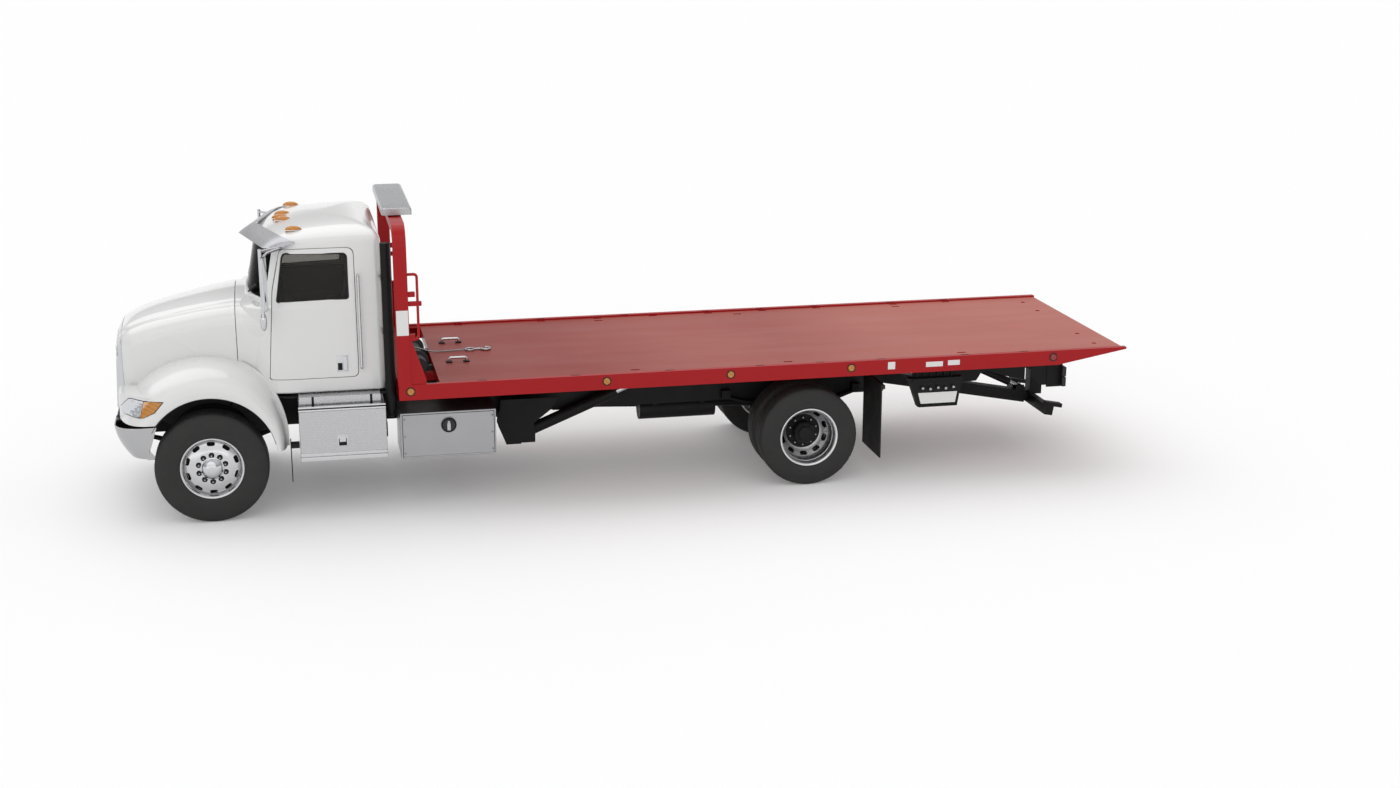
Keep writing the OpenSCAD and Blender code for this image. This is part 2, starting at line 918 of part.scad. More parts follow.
module hood_block(d) {
  intersection() {
    union() {
      intersection() {
        hood_half(d);
        bar([-1000, 500], [-1000, 0.5], [800, 2200]);
      }
      mirror([0, 1, 0])
        intersection() {
          hood_half(d);
          bar([-1000, 500], [-1000, 0.5], [800, 2200]);
        }
    }
    side_prism(-1000, 1000)
      hood_nose(d);
    bar([hood_x0 - 5, d > 0 ? hood_x1 + 20 : hood_x1], [-1000, 1000], [800, 2200]);
  }
}

// Distance out from the arch and from the middle, for the fender's skin.
fender_out = [[0, 1162], [0, 1186], [50, 1190], [110, 1178], [170, 1140], [220, 1070], [262, 960], [290, 820],
  [306, 650], [310, 500]];
fender_in = [[290, 500], [286, 645], [270, 812], [243, 948], [204, 1056], [158, 1122], [104, 1158], [48, 1170],
  [18, 1166], [18, 1162]];

module fender() {
  difference() {
    translate([0, 0, arch_z])
      rotate([90, 0, 0])
        rotate_extrude(angle = 152, $fn = 96)
          polygon([for (p = concat(fender_out, fender_in)) [arch_r + p[0], p[1]]]);
    bar([fender_x1, 1200], [-1300, 0], [0, 2000]);
    bar([-1200, hood_x0], [-1300, 0], [0, 2000]);
    bar([-1200, 0], [-1300, 0], [0, 1003]);
    bar([0, 1200], [-1300, 0], [0, 690]);
    translate([0, 0, 900])
      linear_extrude(height = 1000)
        cab_plan(-12);
    hood_block(hood_t);
  }
}

module lamp_pod(d) {
  intersection() {
    bar([-830 + d, -420], [-1120 + d, -600], [1003 + d, 1262 - d]);
    translate([-440, -700, 1000])
      cylinder(h = 300, r = 415 - d);
  }
}

module hood_lug() {
  bar([-826, -772], [-475, -445], [hood_hinge[1] - 15, 1130]);
  rod_y(hood_hinge[0], hood_hinge[1], -460, -rail_y + 45, 10);
}

module hood() {
  color([0.92, 0.92, 0.9]) {
    difference() {
      hood_block(0);
      hood_block(hood_t);
      rod_y(0, arch_z, -1200, 1200, arch_r + 292);
      front_prism(-900, -760)
        round_rect(-440, 440, 800, 1690, 60);
    }
    both()
      fender();
    both()
      hood_lug();
  }
}

module grille() {
  color([0.8, 0.8, 0.82]) {
    front_prism(-862, hood_x0)
      difference() {
        round_rect(-490, 490, 1045, 1740, 90);
        round_rect(-430, 430, 1105, 1680, 50);
      }
    for (y = [-360 : 90 : 360])
      bar([-856, -846], [y - 7, y + 7], [1100, 1685]);
  }
}

module headlamps() {
  color([0.9, 0.9, 0.9])
    both()
      difference() {
        lamp_pod(0);
        hood_block(-1);
        translate([0, 0, arch_z])
          rotate([90, 0, 0])
            rotate_extrude($fn = 96)
              polygon(concat([for (p = fender_out) [arch_r + p[0] + 0.3, p[1] + 0.3]], [[300, 500], [300, 1187]]));
      }
}

// Bed
// A cheek beside the eye of a tilt rod, with a window in which its pin shifts.
module rod_cheek(y0, y1) {
  difference() {
    bar([pin_b[0] - 90, pin_b[0] + 90], [y0, y1], [pin_b[1] - 60, pad_z]);
    bar([pin_b[0] - 52, pin_b[0] + 52], [y0 - 5, y1 + 5], [pin_b[1] - 36, pin_b[1] + 30]);
  }
}

module subframe() {
  color([0.05, 0.05, 0.05]) {
    difference() {
      union() {
        both() {
          bar([1960, 8900], [-440, -350], [1015, pad_z]);
          for (x = [2200, 4000, 5600, 6700, 8200])
            bar([x - 80, x + 80], [-430, -360], [pad_z - 1, pad_z + 5]);
          side_prism(-466, -438)
            polygon([[tilt_x - 110, 1105], [tilt_x + 110, 1105], [tilt_x + 60, 905], [tilt_x - 60, 905]]);
          bar([8725, 8890], [-452, -438], [678, 1100]);
          bar([control_x + 243, control_x + 313], [-1120, -438], [1020, 1060]);
          rod_cheek(-cyl_y + 40, -cyl_y + 54);
          rod_cheek(-cyl_y - 54, -cyl_y - 40);
          bar([pin_b[0] - 90, pin_b[0] + 90], [-cyl_y - 54, -438], [pad_z - 20, pad_z]);
        }
        for (x = [2020, pin_b[0], 5600, 6700, 8860])
          bar([x - 35, x + 35], [-352, 352], [1020, 1100]);
      }
      both()
        rod_y(tilt_x, tilt_z, -480, -430, tilt_r + run);
    }
  }
}

module tail_lamps() {
  color([0.7, 0.05, 0.04])
    both()
      for (z = [740, 850])
        bar([8890, 8926], [-500, -400], [z - 42, z + 42]);
}

module control_boxes() {
  color([0.06, 0.06, 0.06])
    both() {
      side_prism(-1205, -1120)
        polygon([[control_x, 1060], [control_x + 576, 1060], [control_x + 527, 756], [control_x + 108, 756]]);
      for (i = [0 : 5])
        rod_z(control_x + 93 + i * 75, -1165, 1055, 1125, 12);
    }
}

module cylinder_at(a, ang) {
  translate([a[0], 0, a[1]])
    rotate([0, -ang, 0])
      children();
}

module tilt_barrels() {
  color([0.05, 0.05, 0.05])
    both()
      cylinder_at(pin_a, cyl_ang)
        difference() {
          union() {
            rod_x(-cyl_y, 0, 20, cyl_l - 300, 60);
            rod_y(0, 0, -cyl_y - 30, -cyl_y + 30, 48);
          }
          rod_x(-cyl_y, 0, 120, cyl_l - 290, 32 + run);
          rod_y(0, 0, -cyl_y - 66, -cyl_y + 66, 25 + run);
        }
}

module tilt_rods() {
  color([0.75, 0.75, 0.77])
    both()
      cylinder_at(pin_a, cyl_ang) {
        rod_x(-cyl_y, 0, 140, cyl_l - 20, 32);
        rod_y(cyl_l, 0, -cyl_y - 30, -cyl_y + 30, 42);
        rod_y(cyl_l, 0, -cyl_y - 58, -cyl_y + 58, 20);
      }
}

edge_slots = [2597, 3500, 4121, 4745, 5371, 5991, 6616, 7522, 8143];
inner_slots = [4117, 5677, 7512];
tie_r = 25;

module deck() {
  color([0.55, 0.03, 0.04]) {
    difference() {
      bar([deck_x0, bed_x1 - 6], [-bed_half + side_t - 1, bed_half - side_t + 1], [deck_z - 14, deck_z]);
      both() {
        for (x = edge_slots)
          bar([x - 45, x + 45], [-1222, -1188], [deck_z - 20, deck_z + 5]);
        for (x = inner_slots)
          bar([x - 45, x + 45], [-1112, -1078], [deck_z - 20, deck_z + 5]);
        for (y = [-1000, -560])
          rod_z(9000, y, deck_z - 20, deck_z + 5, tie_r);
      }
    }
    both() {
      side_prism(-bed_half, -bed_half + side_t)
        polygon([[bed_x0, side_z0], [taper_x, side_z0], [bed_x1, side_z1 - 20], [bed_x1, side_z1],
          [bed_x0, side_z1]]);
      bar([bed_x0 + 119, deck_x0 + 1], [-bed_half + side_t - 1, -1190], [deck_z - 14, deck_z]);
      bar([bed_x0 + 20, 8400], [-440, -350], [pad_z + 5.3, 1192]);
    }
    bar([bed_x0, bed_x0 + 120], [-bed_half + side_t - 1, bed_half - side_t + 1], [side_z0, side_z1]);
    for (i = [0 : 10])
      bar([deck_x0 + i * 620, deck_x0 + i * 620 + 60], [-bed_half + side_t - 1, bed_half - side_t + 1],
        [1191, deck_z - 13]);
  }
}

module headboard() {
  color([0.55, 0.03, 0.04]) {
    difference() {
      front_prism(1780, 1780 + post_d)
        difference() {
          round_rect(-bed_half, bed_half, 900, hoop_z, 210);
          round_rect(-bed_half + 75, bed_half - 75, 800, hoop_z - 75, 140);
        }
      bar([1700, 2000], [-bed_half - 50, bed_half + 50], [700, side_z1]);
    }
    both() {
      side_prism(-bed_half + 10, -bed_half + 30)
        polygon([[1900, 1800], [2050, 1350], [2050, side_z1], [1900, side_z1]]);
      side_prism(-bed_half + 26, -bed_half + 50)
        difference() {
          round_rect(1860, 2007, 1729, 2379, 40);
          round_rect(1840, 1983, 1753, 2355, 20);
        }
    }
  }
}

module light_bar() {
  color([0.78, 0.78, 0.8]) {
    side_prism(-760, 760)
      round_rect(1717, 2010, hoop_z + 6, hoop_z + 81, 36);
    both()
      bar([1800, 1880], [-520, -440], [hoop_z, hoop_z + 15]);
  }
}

module winch() {
  color([0.06, 0.06, 0.06]) {
    rod_y(2040, 1275, -300, 300, 68);
    for (y = [-300, 282])
      rod_y(2040, 1275, y, y + 18, 112);
    rod_y(2040, 1275, -480, -300, 80);
    rod_y(2040, 1275, 300, 420, 70);
    bar([bed_x0 + 120, deck_x0], [-360, -312], [1200, 1245]);
    bar([bed_x0 + 120, deck_x0], [312, 360], [1200, 1245]);
  }
}

// Winch rope: a round tube swept along its route.
rope_r = 7;
rope_route = [[2040, 0, 1351], [2110, 3, 1330], [2180, 8, 1304], [2250, 14, 1292], [2340, 22, 1290],
  [2440, 32, 1291], [2547, 42, 1293]];
rope_sides = 8;

function rope_dir(i) =
  let (a = rope_route[max(i - 1, 0)], b = rope_route[min(i + 1, len(rope_route) - 1)], d = b - a) d / norm(d);
function rope_ring(i) =
  let (d = rope_dir(i), u = cross([0, 0, 1], d) / norm(cross([0, 0, 1], d)), v = cross(d, u))
  [for (k = [0 : rope_sides - 1]) rope_route[i] + rope_r * (cos(k * 360 / rope_sides) * u
    + sin(k * 360 / rope_sides) * v)];
rope_points = [for (i = [0 : len(rope_route) - 1]) each rope_ring(i)];
rope_faces = concat([[for (k = [0 : rope_sides - 1]) k]],
  [for (i = [0 : len(rope_route) - 2]) for (k = [0 : rope_sides - 1])
    [i * rope_sides + k, (i + 1) * rope_sides + k, (i + 1) * rope_sides + (k + 1) % rope_sides,
      i * rope_sides + (k + 1) % rope_sides]],
  [[for (k = [rope_sides - 1 : -1 : 0]) (len(rope_route) - 1) * rope_sides + k]]);

module winch_rope() {
  color([0.5, 0.5, 0.52])
    polyhedron(points = rope_points, faces = rope_faces);
}

module tow_hook() {
  color([0.6, 0.6, 0.62])
    translate([0, 42, deck_z + 13]) {
      translate([2600, 0, 0])
        rotate_extrude()
          translate([44, 0])
            circle(r = 9);
      rod_x(0, 0, 2640, 2720, 10);
      translate([2762, 0, 0])
        rotate([0, 0, -180])
          rotate_extrude(angle = 270)
            translate([44, 0])
              circle(r = 12);
    }
}

module deck_rings() {
  color([0.5, 0.5, 0.52])
    both()
      side_prism(-418, -402)
        difference() {
          round_rect(2345, 2520, deck_z, deck_z + 50, 24);
          round_rect(2365, 2500, deck_z + 14, deck_z + 36, 10);
        }
}

// Wheel lift: boom and extension lie along one slope.
module lift_at() {
  translate([lift_x, 0, lift_z])
    rotate([0, lift_a, 0])
      children();
}

module lift_boom() {
  color([0.05, 0.05, 0.05])
    difference() {
      union() {
        lift_at() {
          bar([-20, boom_l], [-boom_s / 2, boom_s / 2], [-boom_s / 2, boom_s / 2]);
          rod_y(0, 0, -62, 62, 62);
        }
        both()
          side_prism(-62, -48)
            polygon([for (q = [[-70, -96], [-40, 26], [40, 26], [70, -116]]) ram_b + q]);
        rod_y(ram_b[0], ram_b[1], -62, 62, 14);
      }
      lift_at()
        bar([150, boom_l + 10], [-boom_s / 2 + 8, boom_s / 2 - 8], [-boom_s / 2 + 8, boom_s / 2 - 8]);
      rod_y(lift_x, lift_z, -80, 80, 26 + run);
    }
}

module lift_crossbar() {
  color([0.05, 0.05, 0.05])
    lift_at() {
      bar([180, boom_l + 70], [-48, 48], [-48, 48]);
      bar([boom_l + 40, boom_l + 130], [-bar_half, bar_half], [-60, 40]);
      both()
        bar([boom_l + 40, boom_l + 220], [-bar_half, -bar_half + 90], [38, 78]);
    }
}

module lift_barrel() {
  color([0.05, 0.05, 0.05])
    cylinder_at(ram_a, ram_ang)
      difference() {
        union() {
          rod_x(0, 0, 10, 430, 42);
          rod_y(0, 0, -40, 40, 38);
        }
        rod_x(0, 0, 80, 440, 22 + run);
        rod_y(0, 0, -50, 50, 20 + run);
      }
}

module lift_rod() {
  color([0.75, 0.75, 0.77])
    cylinder_at(ram_a, ram_ang)
      difference() {
        union() {
          rod_x(0, 0, 100, ram_l - 15, 22);
          rod_y(ram_l, 0, -40, 40, 32);
        }
        rod_y(ram_l, 0, -50, 50, 20 + run);
      }
}

module placed() {
  translate([-x_mid, 0, 0])
    children();
}

placed() frame_rails();
placed() front_bumper();
placed() engine_and_gearbox();
placed() radiator();
placed() front_axle();
placed() rear_axle();
placed() leaf_springs();
placed() drive_shaft();
placed() exhaust();
placed() air_tanks();
placed() fuel_tank();
placed() step_box();
placed() tool_boxes();
placed() mud_flaps();
placed() tilt_brackets();
placed() lift_frame();
placed() cab_shell();
placed() cab_glass();
placed() dashboard();
placed() seats();
placed() sun_visor();
placed() roof_lamps();
placed() mirrors();
placed() left_door();
placed() left_door_glass();
placed() right_door();
placed() right_door_glass();
placed() steering_wheel();
placed() hood();
placed() grille();
placed() headlamps();
placed() left_knuckle();
placed() right_knuckle();
placed() front_left_tyre();
placed() front_left_rim();
placed() front_right_tyre();
placed() front_right_rim();
placed() rear_left_tyres();
placed() rear_left_rims();
placed() rear_right_tyres();
placed() rear_right_rims();
placed() left_box_door();
placed() right_box_door();
placed() subframe();
placed() control_boxes();
placed() tail_lamps();
placed() tilt_barrels();
placed() tilt_rods();
placed() deck();
placed() headboard();
placed() light_bar();
placed() winch();
placed() winch_rope();
placed() tow_hook();
placed() deck_rings();
placed() lift_boom();
placed() lift_crossbar();
placed() lift_barrel();
placed() lift_rod();
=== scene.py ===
import math
import bmesh
import bpy
from mathutils import Matrix, Vector


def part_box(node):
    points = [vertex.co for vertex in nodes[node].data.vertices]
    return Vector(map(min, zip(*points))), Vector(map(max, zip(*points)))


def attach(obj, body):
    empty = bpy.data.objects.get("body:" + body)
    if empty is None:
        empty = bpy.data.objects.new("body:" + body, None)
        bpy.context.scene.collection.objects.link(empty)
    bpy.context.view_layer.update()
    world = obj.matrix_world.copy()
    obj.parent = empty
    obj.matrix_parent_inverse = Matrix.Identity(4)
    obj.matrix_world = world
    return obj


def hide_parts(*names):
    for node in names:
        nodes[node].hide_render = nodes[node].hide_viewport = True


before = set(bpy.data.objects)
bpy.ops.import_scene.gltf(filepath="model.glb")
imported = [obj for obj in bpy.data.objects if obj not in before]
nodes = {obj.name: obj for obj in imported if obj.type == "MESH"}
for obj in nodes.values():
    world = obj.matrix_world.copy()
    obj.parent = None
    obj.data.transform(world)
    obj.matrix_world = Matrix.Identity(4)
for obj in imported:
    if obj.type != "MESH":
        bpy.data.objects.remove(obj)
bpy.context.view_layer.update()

SIDES = ((-1, "left"), (1, "right"))

# Places are given in millimetres from the front axle, with x rearward, y to the right and z up.
front_low, front_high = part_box("front_left_tyre")
axle_x = (front_low[0] + front_high[0]) / 2


def at(x, y, z):
    """A point of the truck, in the frame's metres."""
    return Vector((axle_x + x / 1000, y / 1000, z / 1000))


# Camera
def make_camera():
    """The photograph's view: a long lens from the left, a little above the truck."""
    data = bpy.data.cameras.new("camera")
    camera = put("camera", data)
    camera.location = at(716, -19445, 6114)
    look_down, look_left = 15.77, 12.01
    camera.rotation_euler = (math.radians(90 - look_down), 0, math.radians(-look_left))
    data.sensor_width = 36
    data.lens = 50.14
    data.shift_x = 0.0107
    data.shift_y = 0.0129
    data.clip_end = 200
    bpy.context.scene.camera = camera


# Materials
class Nodes:
    """A node tree with short calls to add its nodes."""

    def __init__(self, tree):
        self.tree = tree

    def node(self, kind, **links):
        """A node whose inputs, by name or by number after an underscore, are sockets or plain values."""
        made = self.tree.nodes.new(kind)
        for key, value in links.items():
            index = int(key[1:]) if key[0] == "_" else key.replace("_", " ")
            if isinstance(value, bpy.types.NodeSocket):
                self.tree.links.new(value, made.inputs[index])
            else:
                made.inputs[index].default_value = value
        return made

    def math(self, operation, a, b=0.0):
        made = self.node("ShaderNodeMath", _0=a, _1=b)
        made.operation = operation
        return made.outputs[0]

    def span(self, amount, low, high, start=0.3, end=0.7):
        """An amount between start and end, carried over to low and high."""
        made = self.node("ShaderNodeMapRange", Value=amount, From_Min=start, From_Max=end, To_Min=low,
                         To_Max=high)
        return made.outputs[0]


class Shader(Nodes):
    """A material, with calls for the inputs of its surface."""

    def __init__(self, name, **values):
        self.material = bpy.data.materials.new(name)
        self.material.use_nodes = True
        super().__init__(self.material.node_tree)
        self.bsdf = self.tree.nodes["Principled BSDF"]
        for key, value in values.items():
            socket = self.bsdf.inputs[key.replace("_", " ")]
            socket.default_value = (*value, 1) if isinstance(value, tuple) else value
        self.object_coords = None

    def coords(self, stretch=(1, 1, 1)):
        if self.object_coords is None:
            self.object_coords = self.node("ShaderNodeTexCoord").outputs["Object"]
        return self.node("ShaderNodeMapping", Vector=self.object_coords, Scale=stretch).outputs[0]

    def noise(self, scale, detail=4, stretch=(1, 1, 1), rough=0.5):
        made = self.node("ShaderNodeTexNoise", Vector=self.coords(stretch), Scale=scale, Detail=detail,
                         Roughness=rough)
        return made.outputs["Fac"]

    def wave(self, scale, distortion, direction):
        made = self.node("ShaderNodeTexWave", Vector=self.coords(), Scale=scale, Distortion=distortion)
        made.bands_direction = direction
        return made.outputs["Fac"]

    def link(self, socket, name):
        self.tree.links.new(socket, self.bsdf.inputs[name])

    def colour(self, amount, low, high, start=0.3, end=0.7):
        """A base colour that runs from low to high with an amount."""
        ramp = self.node("ShaderNodeValToRGB", Fac=amount)
        for element, place, tone in zip(ramp.color_ramp.elements, (start, end), (low, high)):
            element.position = place
            element.color = (*tone, 1)
        self.link(ramp.outputs["Color"], "Base Color")

    def rough(self, amount, low, high, start=0.3, end=0.7):
        self.link(self.span(amount, low, high, start, end), "Roughness")

    def bump(self, height, strength, distance):
        made = self.node("ShaderNodeBump", Height=height, Strength=strength, Distance=distance)
        self.link(made.outputs[0], "Normal")


def dim(tone, share):
    return tuple(c * share for c in tone)


def paint(name, colour, dull, roughness=0.3, coat=0.8, gloss=0.5):
    """Gloss paint: a slight change of tone under a clear coat."""
    s = Shader(name, Coat_Weight=coat, Coat_Roughness=0.05, Specular_IOR_Level=gloss)
    s.colour(s.noise(0.7, 0), dull, colour, 0.0, 1.0)
    s.rough(s.noise(1.5, 0), roughness - 0.02, roughness + 0.03, 0.0, 1.0)
    return s.material


def deck_paint(name, front, rear):
    """Deck paint with a painted reflection: paler and duller toward the tail, with broad darker bands across
    it.
    """
    s = Shader(name, Specular_IOR_Level=0.14)
    band_turns, band_depth = 2.6, 0.07
    along = s.node("ShaderNodeSeparateXYZ", Vector=s.coords()).outputs[0]
    band = s.math("MULTIPLY", s.math("SINE", s.math("MULTIPLY", along, band_turns)), band_depth)
    # Painted reflection: the rise toward the tail and the broad bands; the noise adds a random change of tone
    sheen_and_tone = s.math("ADD", s.math("ADD", s.span(along, 0.0, 1.0, -2.2, 4.2), band),
                  s.span(s.noise(0.8, 2), -0.08, 0.08))
    s.colour(sheen_and_tone, front, rear, 0.0, 1.0)
    s.rough(s.noise(3, 4, (0.2, 1, 1)), 0.34, 0.46)
    return s.material


def satin_black(name, tone=0.006, roughness=0.42):
    """Chassis paint with a thin film of dust that gathers in patches."""
    s = Shader(name, Specular_IOR_Level=0.2)
    dust = s.noise(5, 8, rough=0.65)
    film = (tone * 1.9, tone * 1.85, tone * 1.8)
    s.colour(dust, (tone, tone, tone * 1.04), film, 0.45, 0.8)
    s.rough(dust, roughness, roughness + 0.25, 0.35, 0.75)
    s.bump(s.noise(180, 3), 0.12, 0.0008)
    return s.material


def bright_metal(name, tone, low, high, stretch=(1, 1, 1), scale=40, bump=0.03):
    """Plated, polished or brushed metal: its roughness follows fine streaks."""
    s = Shader(name, Metallic=1.0)
    cloud = s.noise(3.5, 4)
    s.colour(cloud, dim(tone, 0.94), tone)
    streak = s.noise(scale, 6, stretch)
    s.rough(streak, low, high)
    s.bump(streak, bump, 0.0008)
    return s.material


def tread_plate(name):
    """Bright aluminium with raised lozenges, turned left and right in a checker."""
    s = Shader(name, Metallic=1.0, Base_Color=(0.5, 0.5, 0.515))
    pitch, half_long, half_short = 0.026, 0.62, 0.2
    split = s.node("ShaderNodeSeparateXYZ", Vector=s.coords((1 / pitch, 1 / pitch, 1 / pitch)))
    along = s.math("ADD", split.outputs[0], split.outputs[1])
    up = s.math("ADD", split.outputs[2], split.outputs[1])
    cell = s.math("ADD", s.math("FLOOR", along), s.math("FLOOR", up))
    odd = s.math("SUBTRACT", s.math("MULTIPLY", s.math("PINGPONG", cell, 1.0), 2.0), 1.0)
    u = s.math("SUBTRACT", s.math("FRACT", along), 0.5)
    v = s.math("MULTIPLY", s.math("SUBTRACT", s.math("FRACT", up), 0.5), odd)
    long_way = s.math("POWER", s.math("DIVIDE", s.math("ADD", u, v), half_long), 2.0)
    short_way = s.math("POWER", s.math("DIVIDE", s.math("SUBTRACT", u, v), half_short), 2.0)
    height = s.span(s.math("ADD", long_way, short_way), 1.0, 0.0, 0.2, 1.3)
    s.rough(s.noise(30, 5), 0.2, 0.38)
    s.bump(height, 0.3, 0.003)
    return s.material


def rubber(name, tone=0.02):
    """Tyre rubber: dusty in patches, with a fine grain."""
    s = Shader(name, Specular_IOR_Level=0.35)
    dust = s.noise(7, 7, rough=0.6)
    s.colour(dust, (tone, tone, tone), (tone * 1.9, tone * 1.8, tone * 1.7), 0.4, 0.8)
    s.rough(dust, 0.55, 0.78)
    s.bump(s.noise(420, 2), 0.2, 0.0006)
    return s.material


def tinted_glass(name, tint, bend):
    s = Shader(name, Base_Color=tint, Transmission_Weight=0.96, IOR=bend)
    s.rough(s.noise(2.5, 1), 0.01, 0.03)
    return s.material


def lens(name, colour):
    """A moulded lamp lens: clear colour over fine ridges."""
    s = Shader(name, Transmission_Weight=0.35, IOR=1.46, Coat_Weight=0.6, Coat_Roughness=0.03)
    ridges = s.wave(11.0, 0.0, "DIAGONAL")
    s.colour(ridges, dim(colour, 0.8), colour, 0.1, 0.9)
    s.rough(s.noise(60, 3), 0.1, 0.22)
    s.bump(ridges, 0.35, 0.002)
    return s.material


def moulded_plastic(name, tone):
    s = Shader(name, Specular_IOR_Level=0.4)
    s.colour(s.noise(4, 4), dim(tone, 0.85), tone)
    s.rough(s.noise(25, 4), 0.45, 0.62)
    s.bump(s.noise(700, 2), 0.25, 0.0006)
    return s.material


def woven_cloth(name, tone):
    s = Shader(name, Sheen_Weight=0.3, Roughness=0.9)
    weave = s.math("MULTIPLY", s.wave(90, 0.4, "X"), s.wave(90, 0.4, "Z"))
    # Painted shade: the colour darkens in the gaps of the weave
    s.colour(weave, dim(tone, 0.6), tone, 0.1, 0.8)
    s.bump(weave, 0.4, 0.0015)
    return s.material


def cast_iron(name, tone):
    s = Shader(name, Metallic=0.5)
    grain = s.noise(60, 8, rough=0.7)
    s.colour(grain, dim(tone, 0.7), tone)
    s.rough(grain, 0.5, 0.75)
    s.bump(grain, 0.3, 0.0015)
    return s.material


def faceted_metal(name, tone):
    """A lamp's bright reflector, made of many flat facets under a clear cover."""
    s = Shader(name, Metallic=1.0, Roughness=0.24, Base_Color=tone, Coat_Weight=1.0, Coat_Roughness=0.02)
    cells = s.node("ShaderNodeTexVoronoi", Vector=s.coords((1, 1, 1.6)), Scale=17.0)
    s.bump(cells.outputs["Distance"], 0.5, 0.02)
    return s.material


def wire_rope(name):
    """Steel strands that wind along the rope."""
    s = Shader(name, Metallic=0.9)
    strands = s.wave(34, 0.6, "DIAGONAL")
    # Painted shade: the colour darkens in the grooves between the strands
    s.colour(strands, (0.12, 0.12, 0.12), (0.5, 0.5, 0.5), 0.2, 0.8)
    s.rough(s.noise(80, 3), 0.3, 0.5)
    s.bump(strands, 0.8, 0.002)
    return s.material


WHITE = paint("white_paint", (0.78, 0.78, 0.775), (0.765, 0.765, 0.76), 0.28, 0.9)
RED = paint("red_paint", (0.40, 0.007, 0.010), (0.37, 0.006, 0.009), 0.34, 0.15, gloss=0.15)
DECK_RED = deck_paint("deck_red_paint", (0.25, 0.034, 0.027), (0.45, 0.14, 0.112))
BLACK = satin_black("black_paint")
CHROME = bright_metal("chrome", (0.60, 0.61, 0.63), 0.06, 0.13, scale=30, bump=0.01)
SOFT_CHROME = bright_metal("soft_chrome", (0.46, 0.46, 0.47), 0.14, 0.24, scale=30, bump=0.01)
POLISHED = bright_metal("polished_aluminium", (0.60, 0.60, 0.61), 0.16, 0.26, scale=60, bump=0.015)
BRUSHED = bright_metal("brushed_aluminium", (0.38, 0.38, 0.39), 0.28, 0.4, (1, 1, 40), 30, 0.03)
SATIN = bright_metal("satin_steel", (0.45, 0.45, 0.47), 0.25, 0.42, scale=60, bump=0.04)
TREAD = tread_plate("tread_plate")
TYRE = rubber("tyre_rubber")
RUBBER = rubber("flap_rubber", 0.014)
GLASS = tinted_glass("tinted_glass", (0.4, 0.39, 0.37), 1.15)
# Near-black glass: painted shade of the cab's inside, seen through the screen
SCREEN_GLASS = tinted_glass("screen_glass", (0.05, 0.05, 0.05), 1.03)
AMBER = lens("amber_lens", (0.85, 0.33, 0.03))
RED_LENS = lens("red_lens", (0.45, 0.01, 0.012))
PLASTIC = moulded_plastic("black_plastic", (0.022, 0.022, 0.023))
GREY_PLASTIC = moulded_plastic("grey_plastic", (0.09, 0.088, 0.085))
CLOTH = woven_cloth("seat_cloth", (0.075, 0.075, 0.08))
IRON = cast_iron("cast_iron", (0.06, 0.06, 0.062))
ROPE = wire_rope("wire_rope")
MIRROR = bright_metal("mirror_glass", (0.75, 0.77, 0.78), 0.02, 0.05, bump=0.0)
CRINKLED = bright_metal("crinkled_silver", (0.46, 0.47, 0.48), 0.24, 0.34, scale=9, bump=0.06)
CAST_ALLOY = bright_metal("cast_alloy", (0.72, 0.72, 0.73), 0.34, 0.46, scale=40, bump=0.02)
REFLECTOR = faceted_metal("lamp_reflector", (0.62, 0.64, 0.67))
PANEL_WHITE = paint("panel_white", (0.8, 0.8, 0.79), (0.76, 0.76, 0.75), 0.4, 0.3)

finish = {
    BLACK: ["frame_rails", "front_axle", "rear_axle", "leaf_springs", "drive_shaft", "tilt_brackets",
            "lift_frame", "subframe", "control_boxes", "left_knuckle", "right_knuckle", "lift_boom",
            "lift_crossbar", "radiator", "tilt_barrels", "lift_barrel", "mirrors", "air_tanks"],
    WHITE: ["cab_shell", "left_door", "right_door", "hood", "headlamps"],
    RED: ["headboard"],
    DECK_RED: ["deck"],
    CHROME: ["front_bumper", "sun_visor", "grille", "tilt_rods", "lift_rod"],
    POLISHED: ["front_left_rim", "front_right_rim", "rear_left_rims", "rear_right_rims", "fuel_tank"],
    BRUSHED: ["tool_boxes", "left_box_door", "right_box_door"],
    TREAD: ["step_box"],
    TYRE: ["front_left_tyre", "front_right_tyre", "rear_left_tyres", "rear_right_tyres"],
    RUBBER: ["mud_flaps"],
    GLASS: ["cab_glass", "left_door_glass", "right_door_glass"],
    AMBER: ["roof_lamps"],
    RED_LENS: ["tail_lamps"],
    PLASTIC: ["dashboard", "steering_wheel"],
    CLOTH: ["seats"],
    IRON: ["engine_and_gearbox", "winch"],
    SATIN: ["tow_hook", "light_bar", "deck_rings", "exhaust"],
    ROPE: ["winch_rope"],
}
for look, names in finish.items():
    for name in names:
        mesh = nodes[name].data
        mesh.materials.clear()
        mesh.materials.append(look)

# The deck's plate has the paint with the painted reflection, and its rails keep the gloss red
deck_mesh = nodes["deck"].data
deck_mesh.materials.append(RED)
plate_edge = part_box("deck")[1][1] - 0.065
for face in deck_mesh.polygons:
    on_plate = face.normal.z > 0.9 and abs(face.center.y) < plate_edge
    face.material_index = 0 if on_plate else 1


# Mesh helpers
def hermite(a, leave, b, arrive, t):
    """A place between a and b on the smooth curve with the given slopes at its ends."""
    return (a * (2 * t ** 3 - 3 * t ** 2 + 1) + leave * (t ** 3 - 2 * t ** 2 + t)
            + b * (3 * t ** 2 - 2 * t ** 3) + arrive * (t ** 3 - t ** 2))


